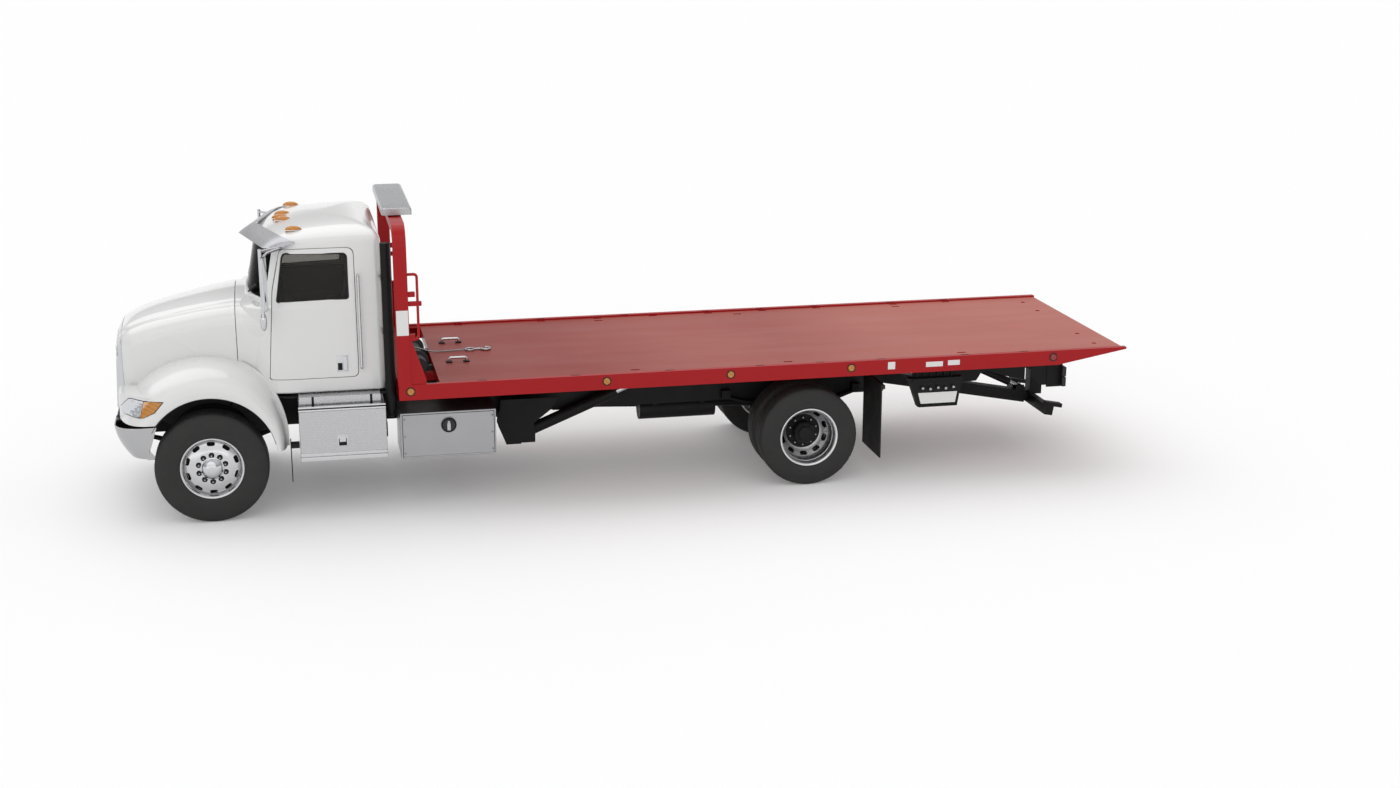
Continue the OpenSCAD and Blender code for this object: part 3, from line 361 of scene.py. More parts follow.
def curve_through(points):
    """A smooth function through (x, value) points, in the order of x."""
    points = sorted(points)

    def slope(i):
        a = points[max(i - 1, 0)]
        b = points[min(i + 1, len(points) - 1)]
        return (b[1] - a[1]) / (b[0] - a[0])

    def value(x):
        x = min(max(x, points[0][0]), points[-1][0])
        i = 0
        while i < len(points) - 2 and x > points[i + 1][0]:
            i += 1
        (x0, y0), (x1, y1) = points[i], points[i + 1]
        h = x1 - x0
        return hermite(y0, slope(i) * h, y1, slope(i + 1) * h, (x - x0) / h)

    return value


def smooth_path(points, steps):
    """Points along a smooth curve through the given ones, with so many steps between each pair."""
    points = [Vector(p) for p in points]
    path = []
    for i in range(len(points) - 1):
        before = points[max(i - 1, 0)]
        a, b = points[i], points[i + 1]
        after = points[min(i + 2, len(points) - 1)]
        path += [hermite(a, (b - before) / 2, b, (after - a) / 2, k / steps) for k in range(steps)]
    return path + [points[-1]]


def round_corners(points, radius, steps=6, closed=True):
    """A path with its corners rounded; radius is one number, or one per corner."""
    points = [Vector(p) for p in points]
    count = len(points)
    radii = radius if isinstance(radius, (list, tuple)) else [radius] * count
    made = []
    for i, corner in enumerate(points):
        if (not closed and i in (0, count - 1)) or radii[i] == 0:
            made.append(corner)
            continue
        back = points[i - 1] - corner
        ahead = points[(i + 1) % count] - corner
        half = back.angle(ahead) / 2
        reach = min(radii[i] / math.tan(half), back.length * 0.49, ahead.length * 0.49)
        a = corner + back.normalized() * reach
        b = corner + ahead.normalized() * reach
        for k in range(steps + 1):
            t = k / steps
            made.append(a * (1 - t) ** 2 + corner * 2 * t * (1 - t) + b * t ** 2)
    return made


def bent(points, radius):
    """The path of a tube that is bent from straight lengths."""
    return [tuple(p) for p in round_corners(points, radius, 5, closed=False)]


def smoothstep(a, b, x):
    t = min(max((x - a) / (b - a), 0), 1)
    return t * t * (3 - 2 * t)


def rows_mesh(rows, closed=False, cap=False):
    """Points and faces of a skin over rows of points; cap closes the first and the last row."""
    width = len(rows[0])
    points = [p for row in rows for p in row]
    faces = []
    for i in range(len(rows) - 1):
        for j in range(width if closed else width - 1):
            k = (j + 1) % width
            faces.append((i * width + j, i * width + k, (i + 1) * width + k, (i + 1) * width + j))
    if cap:
        faces.append(tuple(reversed(range(width))))
        faces.append(tuple(range((len(rows) - 1) * width, len(rows) * width)))
    return points, faces


def put(name, data):
    """An object in the scene for mesh, curve, lamp or camera data."""
    thing = bpy.data.objects.new(name, data)
    bpy.context.collection.objects.link(thing)
    return thing


def from_bmesh(name, made, look, mesh=None):
    mesh = mesh or bpy.data.meshes.new(name)
    made.to_mesh(mesh)
    made.free()
    mesh.materials.append(look)
    return put(name, mesh)


def new_object(name, points, faces, look):
    """An object whose doubled points are joined and whose faces look outward."""
    mesh = bpy.data.meshes.new(name)
    mesh.from_pydata([tuple(p) for p in points], [], faces)
    made = bmesh.new()
    made.from_mesh(mesh)
    bmesh.ops.remove_doubles(made, verts=made.verts, dist=1e-5)
    bmesh.ops.recalc_face_normals(made, faces=made.faces)
    return from_bmesh(name, made, look, mesh)


def skinned(name, rows, look, closed=False, cap=False):
    points, faces = rows_mesh(rows, closed, cap)
    return new_object(name, points, faces, look)


def apply_modifiers(thing):
    bpy.context.view_layer.update()
    graph = bpy.context.evaluated_depsgraph_get()
    mesh = bpy.data.meshes.new_from_object(thing.evaluated_get(graph), depsgraph=graph)
    thing.modifiers.clear()
    old = thing.data
    thing.data = mesh
    bpy.data.meshes.remove(old)
    return thing


def thicken(thing, thickness):
    solid = thing.modifiers.new("thickness", "SOLIDIFY")
    solid.thickness = thickness / 1000
    return apply_modifiers(thing)


def soften(thing, width, segments=2, angle=40):
    """Rounded edges, so that each one catches the light."""
    bevel = thing.modifiers.new("soft_edges", "BEVEL")
    bevel.width = width / 1000
    bevel.segments = segments
    bevel.limit_method = "ANGLE"
    bevel.angle_limit = math.radians(angle)


def carve(thing, tool, operation="DIFFERENCE"):
    cut = thing.modifiers.new("cut", "BOOLEAN")
    cut.object = tool
    cut.operation = operation
    cut.solver = "EXACT"
    apply_modifiers(thing)
    bpy.data.objects.remove(tool)


def side_place(x, z, y):
    return x, y, z


def front_place(y, z, x):
    return x, y, z


def prism(name, outline, place, low, high, look=None):
    """A closed prism: place turns an outline point and a depth into a point of the truck."""
    rows = [[at(*place(p[0], p[1], depth)) for p in outline] for depth in (low, high)]
    return skinned(name, rows, look or WHITE, True, True)


def mirrored(points):
    return [Vector((p[0], -p[1], p[2])) for p in points]


def whole(half):
    """A line across the truck from its left half, which starts at the middle."""
    return list(reversed(half)) + mirrored(half)[1:]


def finish_piece(thing, body, stands_for=(), angle=35):
    """Smooth shading up to an angle, the body to ride on and the nodes that the piece stands for."""
    thing.data.shade_smooth()
    thing.data.set_sharp_from_angle(angle=math.radians(angle))
    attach(thing, body)
    if stands_for:
        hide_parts(*stands_for)


def sheet(name, rows, look, thickness, edge, body, stands_for=(), angle=35):
    """A skin over rows of points, with a thickness and rounded edges."""
    thing = thicken(skinned(name, rows, look), thickness)
    if edge:
        soften(thing, edge)
    finish_piece(thing, body, stands_for, angle)


def plate(name, outline, side, spread, look, body, edge=3):
    """A flat plate on one side: an outline in x and z, between two distances from the middle."""
    low, high = sorted(side * y for y in spread)
    thing = prism(name, outline, side_place, low, high, look)
    soften(thing, edge)
    finish_piece(thing, body)


def tube(name, points, radius, look, body, smooth=4):
    """A round tube along points of the truck."""
    data = bpy.data.curves.new(name, "CURVE")
    data.dimensions = "3D"
    data.bevel_depth = radius / 1000
    data.bevel_resolution = 4
    data.use_fill_caps = True
    path = smooth_path(points, smooth) if smooth else [Vector(p) for p in points]
    spline = data.splines.new("POLY")
    spline.points.add(len(path) - 1)
    for spot, p in zip(spline.points, path):
        spot.co = (*at(*p), 1)
    spline.use_smooth = True
    data.materials.append(look)
    made = put(name, data)
    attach(made, body)
    return made


def add_box(made, x, y, z):
    """A box from three ranges, added to a mesh under construction."""
    low, high = at(x[0], y[0], z[0]), at(x[1], y[1], z[1])
    matrix = Matrix.Translation((low + high) / 2) @ Matrix.Diagonal((*(high - low), 1))
    bmesh.ops.create_cube(made, size=1, matrix=matrix)


def add_cone(made, middle, axis, radius, tip, length, sides):
    turn = Vector(axis).to_track_quat("Z", "Y").to_matrix().to_4x4()
    bmesh.ops.create_cone(made, cap_ends=True, segments=sides, radius1=radius / 1000, radius2=tip / 1000,
                          depth=length / 1000, matrix=Matrix.Translation(middle) @ turn)


def add_disc(made, centre, axis, radius, length, sides=24, tip=None):
    """A short cylinder from a centre along an axis; tip gives a second radius at its far end."""
    middle = at(*centre) + Vector(axis).normalized() * length / 2000
    add_cone(made, middle, axis, radius, radius if tip is None else tip, length, sides)


def built(name, build, look, body, edge=2, stands_for=(), segments=2):
    """A piece whose mesh the build function fills."""
    made = bmesh.new()
    build(made)
    thing = from_bmesh(name, made, look)
    if edge:
        soften(thing, edge, segments)
    finish_piece(thing, body, stands_for)


def boxes(name, look, body, edge, spans, side=1, stands_for=(), segments=2):
    """A piece made of boxes: ranges in x, y and z, where y counts outward on the given side."""
    def fill(made):
        for x, y, z in spans:
            add_box(made, x, sorted((side * y[0], side * y[1])), z)

    built(name, fill, look, body, edge, stands_for, segments)


def on_both(spans):
    """Boxes on the left, and the same on the right."""
    return [(x, (side * y[0], side * y[1]), z) for side, _ in SIDES for x, y, z in spans]


def discs(name, look, body, edge, spots, shape, segments=2):
    """A piece made of short cylinders that stand outward from the sides; shape goes on to add_disc."""
    def fill(made):
        for spot in spots:
            add_disc(made, spot, (0, math.copysign(1, spot[1]), 0), *shape)

    built(name, fill, look, body, edge, (), segments)


# Hood and fenders
hood_rear, hood_front = 290, -840
hood_half_rear, hood_half_front = 790, 560
hood_shoulder, hood_foot = 165, 960
shoulder_turn, side_lean = math.radians(86), 0.06
nose_tuck, nose_from, nose_to = 70, -690, -880
# Shares of the half width, then the step at the crease and what the nose adds to it
crown_share, crease_share, crease_step, nose_step = 0.06, 0.56, 3, 13
hood_crest = curve_through([(290, 2056), (0, 2012), (-300, 1953), (-500, 1905), (-650, 1856), (-750, 1806),
                            (-812, 1750), (-840, 1690)])
arch_r, arch_z = 625, 615
# The cab's half width at its foot, by x
cab_plan = curve_through([(300, 790), (480, 870), (640, 942), (740, 965), (1000, 965), (1640, 965)])


def hood_half_width(x):
    width = hood_half_front + (hood_half_rear - hood_half_front) * (x - hood_front) / (hood_rear - hood_front)
    return width - nose_tuck * smoothstep(nose_from, nose_to, x)


def hood_section(x, low=hood_foot):
    """Half a section, from the middle over the crease and the shoulder and down the side: (y, z) points."""
    half = hood_half_width(x)
    crown = crown_share * half
    flat = half - hood_shoulder
    crease = crease_share * half
    step = nose_step * smoothstep(250, -650, x) + crease_step
    section = []
    for i in range(25):
        y = flat * i / 24
        fall = crown * (y / flat) ** 2 + step * smoothstep(crease - 18, crease + 30, y)
        section.append((y, hood_crest(x) - fall))
    top = section[-1][1]
    for i in range(1, 13):
        turn = shoulder_turn * i / 12
        section.append((flat + hood_shoulder * math.sin(turn), top - hood_shoulder * (1 - math.cos(turn))))
    y0, z0 = section[-1]
    for i in range(1, 9):
        z = z0 + (low - z0) * i / 8
        section.append((y0 - side_lean * (z0 - z), z))
    return section


def make_hood():
    """The hood's skin, cut away where the fenders stand."""
    count, fender_room = 36, 288
    rows = []
    for i in range(count + 1):
        x = hood_rear + (hood_front - hood_rear) * (1 - (1 - i / count) ** 1.6)
        rows.append(whole([at(x, -y, z) for y, z in hood_section(x)]))
    skin = thicken(skinned("hood_skin", rows, WHITE), 16)
    ring = [(arch_r + fender_room) * Vector((math.cos(a), math.sin(a))) + Vector((0, arch_z))
            for a in (math.tau * i / 96 for i in range(96))]
    carve(skin, prism("arch", ring, side_place, -1300, 1300))
    soften(skin, 5)
    finish_piece(skin, "hood", ["hood"])


grille_x, grille_low = -838, 1010
# x, how far the sleeve stands out from the hood, and its share of the hood's section
sleeve_rows = [(-797, 5, 1), (-815, 6, 1), (-838, 6, 1), (-862, 4, 1), (-876, 0, 0.985), (-882, 0, 0.955),
               (-878, 0, 0.925), (-866, 0, 0.91)]


def make_grille():
    """A chrome sleeve round the hood's nose that rolls in to the opening, and upright bars across it."""
    rows = []
    for x, out, share in sleeve_rows:
        ahead = max(grille_x - x, 0) / 44
        half = []
        for y, z in hood_section(max(x, grille_x), grille_low):
            lean = 0.05 * (z - 1000) * ahead
            half.append(at(x + lean, -(y + out * min(y / 300, 1)) * share,
                           grille_low + (z + out - grille_low) * share))
        rows.append(whole(half))
    sheet("grille_sleeve", rows, CHROME, 3, 1.5, "hood", ["grille"], 40)
    top = hood_crest(grille_x) - 45
    bars = [((-858, -844), (y - 9, y + 9), (1040, top - 0.0003 * y * y)) for y in range(-360, 361, 90)]
    boxes("grille_bars", CHROME, "hood", 4, bars + [((-876, -846), (-420, 420), (1006, 1050))])


# Height over the arch, and distance from the middle
fender_profile = [(0, 1160), (0, 1178), (8, 1187), (40, 1190), (80, 1187), (125, 1170), (170, 1140),
                  (220, 1070), (262, 960), (290, 820), (306, 650), (310, 520)]
# How much of that height is left, by the angle round the arch from its rear
fender_reach = curve_through([(0, 0.36), (8, 0.38), (27, 0.56), (43, 0.76), (57, 0.94), (72, 1.0),
                              (180, 1.0)])
fender_rear_foot, fender_front_foot = 75, 388
fender_off_cab, fender_under_hood = 8, 60


def make_fender(side, name):
    """One fender: each line of the profile runs from the rear foot to the front foot of the arch."""
    rows = []
    for rise, width in smooth_path(fender_profile, 4):
        first = math.asin(fender_rear_foot / (arch_r + rise))
        last = math.pi - math.asin(fender_front_foot / (arch_r + rise))
        line = []
        for i in range(61):
            turn = first + (last - first) * (i / 60)
            r = arch_r + rise * fender_reach(math.degrees(turn))
            x, z = r * math.cos(turn), arch_z + r * math.sin(turn)
            behind = x > hood_rear
            inner = cab_plan(x) + fender_off_cab if behind else hood_half_width(x) - fender_under_hood
            line.append(at(x, side * max(width, inner), z))
        rows.append(line)
    sheet("fender_" + name, rows, WHITE, 12, 4, "hood")


pod_centre, pod_r = (-440, 700), 415
# Lamp outlines in degrees round the pod and height, and the cuts that give them small faces
lamp_turn_cuts, lamp_height_cuts = range(28, 96, 3), range(1050, 1250, 20)
lamp_clear = [(26.9, 1136), (48.6, 1247), (69.3, 1222), (62.5, 1053), (36.8, 1082)]
lamp_amber = [(69.9, 1222), (93.5, 1208), (81.8, 1111), (66, 1056), (63.1, 1054)]
lamp_whole = [(25.5, 1136), (48, 1252), (69.3, 1228), (95.2, 1213), (82.5, 1106), (64.2, 1047), (36, 1076)]


def first_surface(things, eye, spot):
    """Where the line from the eye through a spot first meets one of the things, and the normal there."""
    best = None
    for thing in things:
        back = thing.matrix_world.inverted()
        start = back @ eye
        found, place, normal, _ = thing.ray_cast(start, (back @ spot - start).normalized())
        if found:
            place = thing.matrix_world @ place
            if best is None or (place - eye).length < (best[0] - eye).length:
                best = (place, (thing.matrix_world.to_3x3() @ normal).normalized())
    return best or (spot, (eye - spot).normalized())


def wrapped(name, outline, low, high, look, side, skins):
    """A patch on the skins, where the photograph shows its outline; the right one mirrors the left."""
    count = len(outline)
    points = [(p[0], depth, p[1]) for depth in (low, high) for p in outline]
    faces = [tuple(range(count)), tuple(range(2 * count - 1, count - 1, -1))]
    faces += [(i, (i + 1) % count, count + (i + 1) % count, count + i) for i in range(count)]
    thing = new_object(name, points, faces, look)
    made = bmesh.new()
    made.from_mesh(thing.data)
    cuts = [((turn, 0, 0), (1, 0, 0)) for turn in lamp_turn_cuts]
    cuts += [((0, 0, z), (0, 0, 1)) for z in lamp_height_cuts]
    for place, way in cuts:
        everything = made.verts[:] + made.edges[:] + made.faces[:]
        bmesh.ops.bisect_plane(made, geom=everything, plane_co=place, plane_no=way)
    eye = bpy.context.scene.camera.location
    for v in made.verts:
        turn, depth = math.radians(v.co.x), v.co.y
        spot = at(pod_centre[0] - pod_r * math.cos(turn), -pod_centre[1] - pod_r * math.sin(turn), v.co.z)
        place, normal = first_surface(skins, eye, spot)
        v.co = place + normal * depth / 1000
        v.co.y *= -side
    bmesh.ops.recalc_face_normals(made, faces=made.faces)
    made.to_mesh(thing.data)
    made.free()
    soften(thing, 2)
    finish_piece(thing, "hood", (), 50)


def make_headlamps():
    """Each lamp: a dark bezel, a faceted bright front and an amber end round the corner."""
    bpy.context.view_layer.update()
    skins = [bpy.data.objects["fender_left"], nodes["headlamps"]]
    for side, name in SIDES:
        wrapped("lamp_bezel_" + name, round_corners(lamp_whole, 8), -8, 2, BLACK, side, skins)
        wrapped("lamp_front_" + name, round_corners(lamp_clear, 10), -6, 6, REFLECTOR, side, skins)
        wrapped("lamp_end_" + name, round_corners(lamp_amber, 8), -6, 6, AMBER, side, skins)


bumper_front, bumper_half, bumper_corner = -882, 1148, 245
bumper_dip_low, bumper_dip_in, bumper_dip_out = 940, 500, 640
# Height, how far the front lies back, and x of the rear end
bumper_sections = [(975, 0, -486), (968, -3, -488), (940, 0, -497), (880, 12, -516), (820, 33, -535),
                   (750, 68, -558), (690, 106, -577), (657, 130, -588)]


def make_bumper():
    """A bright bumper that wraps round both corners; its top dips where the grille swings by."""
    rows = []
    for z, inset, rear in bumper_sections:
        front, half, r = bumper_front + inset, bumper_half - inset * 0.25, bumper_corner
        line = [(rear, half), ((rear + front + r) / 2, half)]
        for i in range(13):
            turn = math.pi / 2 * i / 12
            line.append((front + r - r * math.sin(turn), half - r + r * math.cos(turn)))
        line += [(front - 3 * (1 - (y / 900) ** 2), y) for y in (700, 640, 600, 560, 520, 480, 200, 0)]
        dip = 0.8 * max(z - bumper_dip_low, 0)
        line = [at(x, -y, z - dip * (1 - smoothstep(bumper_dip_in, bumper_dip_out, y))) for x, y in line]
        rows.append(line + list(reversed(mirrored(line)))[1:])
    sheet("bumper_skin", rows, SOFT_CHROME, 9, 3, "chassis", ["front_bumper"])
    boxes("bumper_stays", BLACK, "chassis", 4, on_both([((-870, -765), (353, 423), (763, 863))]))


def arch_sheet(name, body, side, turns, lines):
    """One sheet of a wheel arch liner between two angles; each line gives its width by x, and its radius."""
    rows = []
    for width, r in lines:
        row = []
        for i in range(31):
            a = math.radians(turns[0] + (turns[1] - turns[0]) * i / 30)
            row.append(at(r * math.cos(a), side * width(r * math.cos(a)), arch_z + r * math.sin(a)))
        rows.append(row)
    sheet(name, rows, PLASTIC, 5, 0, body)


def make_liners():
    """Black liners in the wheel arches: the hood's own, and a splash sheet of the chassis under the cowl."""
    def fixed(y):
        return lambda x: y

    def beside_cab(gap):
        return lambda x: cab_plan(max(x, 300)) + gap

    roof_r, lip_r = 614, 618
    wall = [(fixed(560), 420), (fixed(562), 606), (fixed(600), roof_r)]
    lip = (fixed(1150), lip_r)
    for side, name in SIDES:
        arch_sheet("arch_liner_" + name, "hood", side, (64, 150), wall + [(fixed(900), roof_r), lip])
        arch_sheet("fender_liner_" + name, "hood", side, (12, 63.9), [(beside_cab(14), roof_r), lip])
        arch_sheet("splash_sheet_" + name, "chassis", side, (12, 62), wall + [(beside_cab(-4), roof_r)])


# Cab
cab_low, cab_rear, cab_corner, cab_widest = 1190, 1690, 75, 965
screen_foot, screen_rake, sill_low, sill_high = 2056, 0.19, 2008, 2060
screen_low, screen_high, screen_half, screen_sink = 2070, 2590, 830, 14
roof_edge, roof_mid = 2600, 1120
# Plans of the front from the middle outward: the screen's foot, and the wall under it
screen_plan = [(392, 0), (399, 180), (420, 360), (460, 530), (520, 690), (585, 820), (650, 905), (760, 960)]
lower_plan = [(330, 0), (330, 300), (335, 520), (365, 700), (440, 815), (530, 888), (640, 941), (760, 964)]
cab_half = curve_through([(1000, 965), (1700, 965), (2100, 964), (2350, 949), (2610, 926), (2900, 900)])
roof_top = curve_through([(480, 2640), (540, 2672), (645, 2712), (800, 2748), (900, 2762), (1300, 2792),
                          (1560, 2792), (1700, 2780)])
roof_shares = (0.999, 0.995, 0.988, 0.978, 0.964, 0.945, 0.92, 0.89, 0.85, 0.8, 0.72, 0.6, 0.45, 0.3, 0.15,
               0.03)
door_outline = [(589, 1330), (655, 2185), (743, 2583), (1425, 2583), (1425, 1330)]
door_radii = [30, 500, 70, 75, 60]
window_outline = [(690, 2082), (765, 2545), (1362, 2530), (1362, 2098)]
window_radii = [18, 60, 45, 25]
# Openings across the cab: outline in y and z, corner radius, and the range in x that is cut
cab_openings = (([(-805, 2092), (-772, 2566), (772, 2566), (805, 2092)], 55, (200, 720)),
                ([(-620, 2080), (-620, 2480), (620, 2480), (620, 2080)], 60, (1600, 1800)))


def cab_ring(z, inset=0):
    """The left half of the cab's plan at a height, from the front's middle to the rear's middle."""
    blend = smoothstep(sill_low, sill_high, z)
    lean = max(z - screen_foot, 0) * screen_rake
    half = cab_half(z) - inset
    front = []
    for low, high in zip(lower_plan, screen_plan):
        x = low[0] + (high[0] + lean - low[0]) * blend + inset
        y = low[1] + (high[1] - low[1]) * blend
        front.append((x, min(y, cab_widest) / cab_widest * half))
    ring = [tuple(p) for p in smooth_path(front, 5)]
    rear, corner = cab_rear - inset, cab_corner
    x0, y0 = ring[-1]
    ring += [(x0 + (rear - corner - x0) * i / 10, y0 + (half - y0) * i / 10) for i in range(1, 11)]
    for i in range(1, 9):
        turn = math.pi / 2 * i / 8
        ring.append((rear - corner + corner * math.sin(turn), half - corner + corner * math.cos(turn)))
    return ring + [(rear, (half - corner) * (1 - i / 8)) for i in range(1, 9)]


def closed_ring(half):
    """A ring round the cab from its left half."""
    left = [at(x, -y, z) for x, y, z in half]
    return left + list(reversed(mirrored(left[1:-1])))


def cab_solid(name, inset):
    """The whole outside of the cab, or a smaller copy of it, as one closed solid."""
    foot, foot_x, foot_share = cab_low + inset, 1000, 0.99
    heights = [foot + 12, 1400, 1700, 1950, 2004, 2014, 2024, 2034, 2044, 2054, 2062]
    heights += [2080 + 20 * i for i in range(27)]
    rows = [closed_ring([(foot_x + (x - foot_x) * foot_share, y * foot_share, foot)
                         for x, y in cab_ring(cab_low, inset)])]
    rows += [closed_ring([(x, y, z) for x, y in cab_ring(z, inset)]) for z in heights]
    edge = cab_ring(roof_edge, inset)
    for share in roof_shares:
        ring = []
        for x, y in edge:
            px = roof_mid + (x - roof_mid) * share
            rise = (roof_top(px) - inset - roof_edge) * (1 - share ** 3) ** (1 / 3)
            ring.append((px, y * share, roof_edge + rise))
        rows.append(closed_ring(ring))
    return skinned(name, rows, WHITE, True, True)


def grown(outline, by):
    """The outline moved outward by a distance, about its own middle."""
    middle = sum((Vector(p) for p in outline), Vector((0, 0))) / len(outline)
    made = []
    for p in outline:
        away = Vector(p) - middle
        made.append(middle + Vector((away.x + math.copysign(by, away.x), away.y + math.copysign(by, away.y))))
    return made


def make_cab():
    """The shell with its door, screen and rear openings, and the two doors cut from the same skin."""
    wall_thickness, door_gap = 38, 6
    wall = cab_solid("cab_wall", 0)
    carve(wall, cab_solid("cab_inside", wall_thickness))
    door_line = round_corners(door_outline, door_radii)
    gap_line = round_corners(grown(door_outline, door_gap), door_radii)
    window_line = round_corners(window_outline, window_radii)
    for side, name in SIDES:
        low, high = sorted((side * 700, side * 1100))
        door = put(name + "_door_skin", wall.data.copy())
        carve(door, prism("door_cut", door_line, side_place, low, high), "INTERSECT")
        carve(door, prism("window_cut", window_line, side_place, low, high))
        soften(door, 5, 3)
        finish_piece(door, name + "_cab_door", [name + "_door"])
        carve(wall, prism("door_gap", gap_line, side_place, low, high))
    for outline, radius, cut in cab_openings:
        carve(wall, prism("opening_cut", round_corners(outline, radius), front_place, *cut))
    soften(wall, 5, 3)
    finish_piece(wall, "chassis", ["cab_shell"])


# Wheels
front_y, front_r, front_w = 1020, 538, 290
rear_x, rear_r, rear_w, outer_y, twin_gap = 5880, 506, 275, 1080, 330
bead = 288
hole_count, hole_half, hole_r = 10, 20, 19
# Profiles: distance outward from the wheel's middle, and radius
rim_lip = [(125, 299), (126, 296), (125, 288), (116, 279), (104, 275), (84, 272)]
barrel_back = [(-70, 266), (-104, 275), (-125, 288), (-125, 299), (-117, 299), (-108, 287), (-84, 284),
               (-60, 262), (52, 262), (72, 284), (108, 287), (117, 299)]
front_dish = [(66, 266), (74, 262), (84, 250), (94, 228), (101, 205), (108, 180), (112, 160), (113, 120),
              (113, 60)]
front_back = [(95, 60), (95, 150), (86, 190), (70, 235), (54, 256), (44, 256), (-56, 256)]
front_hub = [(113, 112), (122, 111), (124, 104), (132, 96), (146, 86), (163, 62), (170, 44), (172, 36),
             (173, 0.1)]
front_drum = [(34, 60), (34, 246), (-40, 250)]
rear_dish = [(40, 262), (-20, 262), (-48, 257), (-58, 249), (-74, 232), (-100, 205), (-122, 178), (-128, 150),
             (-128, 110)]
rear_back = [(-144, 110), (-143, 160), (-136, 180), (-118, 204), (-92, 230), (-74, 248), (-68, 258)]
rear_hub = [(-144, 112), (-60, 108), (-30, 104), (-12, 100), (-8, 92), (20, 88), (32, 82), (40, 70), (44, 40),
            (45, 0.1)]
rear_flange = [(-126, 105), (-126, 150), (-120, 177)]
rear_drum = [(-165, 60), (-165, 248)]


def wheel_place(x, y, z, side):
    """A wheel's middle, and a function for places about it, where outward is away from the truck."""
    def place(out, r, turn):
        return Vector((r * math.cos(turn), side * out, r * math.sin(turn))) / 1000
    return at(x, side * y, z), place


def centred(thing, centre):
    """A piece made about its own origin, moved to a wheel's middle."""
    thing.location = centre
    bpy.context.view_layer.update()
    return thing


def spun(name, profile, wheel, look, sides, closed=False):
    """A piece turned about a wheel's axis."""
    centre, place = wheel
    rows = [[place(out, r, math.tau * i / sides) for out, r in profile] for i in range(sides)]
    return centred(skinned(name, rows + rows[:1], look, closed), centre)


def wheel_part(name, profile, wheel, look, sides, body, stands_for=(), angle=38):
    finish_piece(spun(name, profile, wheel, look, sides), body, stands_for, angle)


def make_tyre(name, wheel, r, w, body, stands_for):
    """Sidewalls that bulge, a rounded shoulder and a tread with four grooves round it."""
    h = w / 2
    wall = [(0.74 * h, bead), (0.82 * h, bead + 8), (0.9 * h, bead + 22), (0.985 * h, bead + 75),
            (h, bead + 118), (0.985 * h, r - 85), (0.93 * h, r - 45), (0.86 * h, r - 20), (0.77 * h, r - 5)]
    half = [tuple(p) for p in smooth_path(wall, 2)]
    for y in (0.56 * h, 0.2 * h):
        half += [(y + 6, r - 1), (y + 4, r - 13), (y - 4, r - 13), (y - 6, r - 1)]
    profile = half + [(0, r)] + [(-out, radius) for out, radius in reversed(half)]
    wheel_part(name, profile, wheel, TYRE, 56, body, stands_for, 42)


def hole_cutter(wheel, low, high, circle):
    """Ten oval hand holes, long way round the wheel, as one cutting mesh."""
    centre, place = wheel
    outline = []
    for i in range(20):
        a = math.tau * i / 20
        along = hole_half * math.copysign(1, math.cos(a)) + hole_r * math.cos(a)
        outline.append((circle + hole_r * math.sin(a), along / circle))
    points, faces = [], []
    for k in range(hole_count):
        turn = math.tau * (k + 0.5) / hole_count
        rows = [[place(out, r, turn + lean) for r, lean in outline] for out in (low, high)]
        more, sides = rows_mesh(rows, closed=True, cap=True)
        faces += [tuple(i + len(points) for i in f) for f in sides]
        points += more
    return centred(new_object("hand_holes", points, faces, BLACK), centre)


def make_rim(name, profile, wheel, look, holes, body, stands_for):
    rim = spun(name, rim_lip + profile + barrel_back, wheel, look, 96, True)
    carve(rim, hole_cutter(wheel, *holes))
    soften(rim, 2, 2, 50)
    finish_piece(rim, body, stands_for, 38)


def make_nuts(name, wheel, body, side, circle, low, high):
    """Ten iron nuts on a circle, each on a black seat and with a bright stud."""
    centre, place = wheel
    for part, look, radius, top, sides in (("seats", BLACK, 29, high - 11, 24),
                                           ("nuts", IRON, 17, high + 4, 6),
                                           ("studs", SATIN, 8, high + 12, 12)):
        made = bmesh.new()
        for k in range(hole_count):
            spot = place((low + top) / 2, circle, math.tau * (k + 0.5) / hole_count)
            add_cone(made, spot, (0, side, 0), radius, radius * 0.86, top - low, sides)
        thing = centred(from_bmesh(name + "_" + part, made, look), centre)
        soften(thing, 2)
        finish_piece(thing, body)


def make_front_wheel(side, name):
    wheel = wheel_place(0, front_y, front_r, side)
    body = "front_" + name + "_wheel"
    make_tyre("tyre_front_" + name, wheel, front_r, front_w, body, ["front_" + name + "_tyre"])
    make_rim("rim_front_" + name, front_dish + front_back, wheel, POLISHED, (30, 140, 238), body,
             ["front_" + name + "_rim"])
    wheel_part("hub_front_" + name, front_hub, wheel, CHROME, 64, body)
    wheel_part("drum_front_" + name, front_drum, wheel, BLACK, 48, body)
    make_nuts("nuts_front_" + name, wheel, body, side, 130, 111, 128)


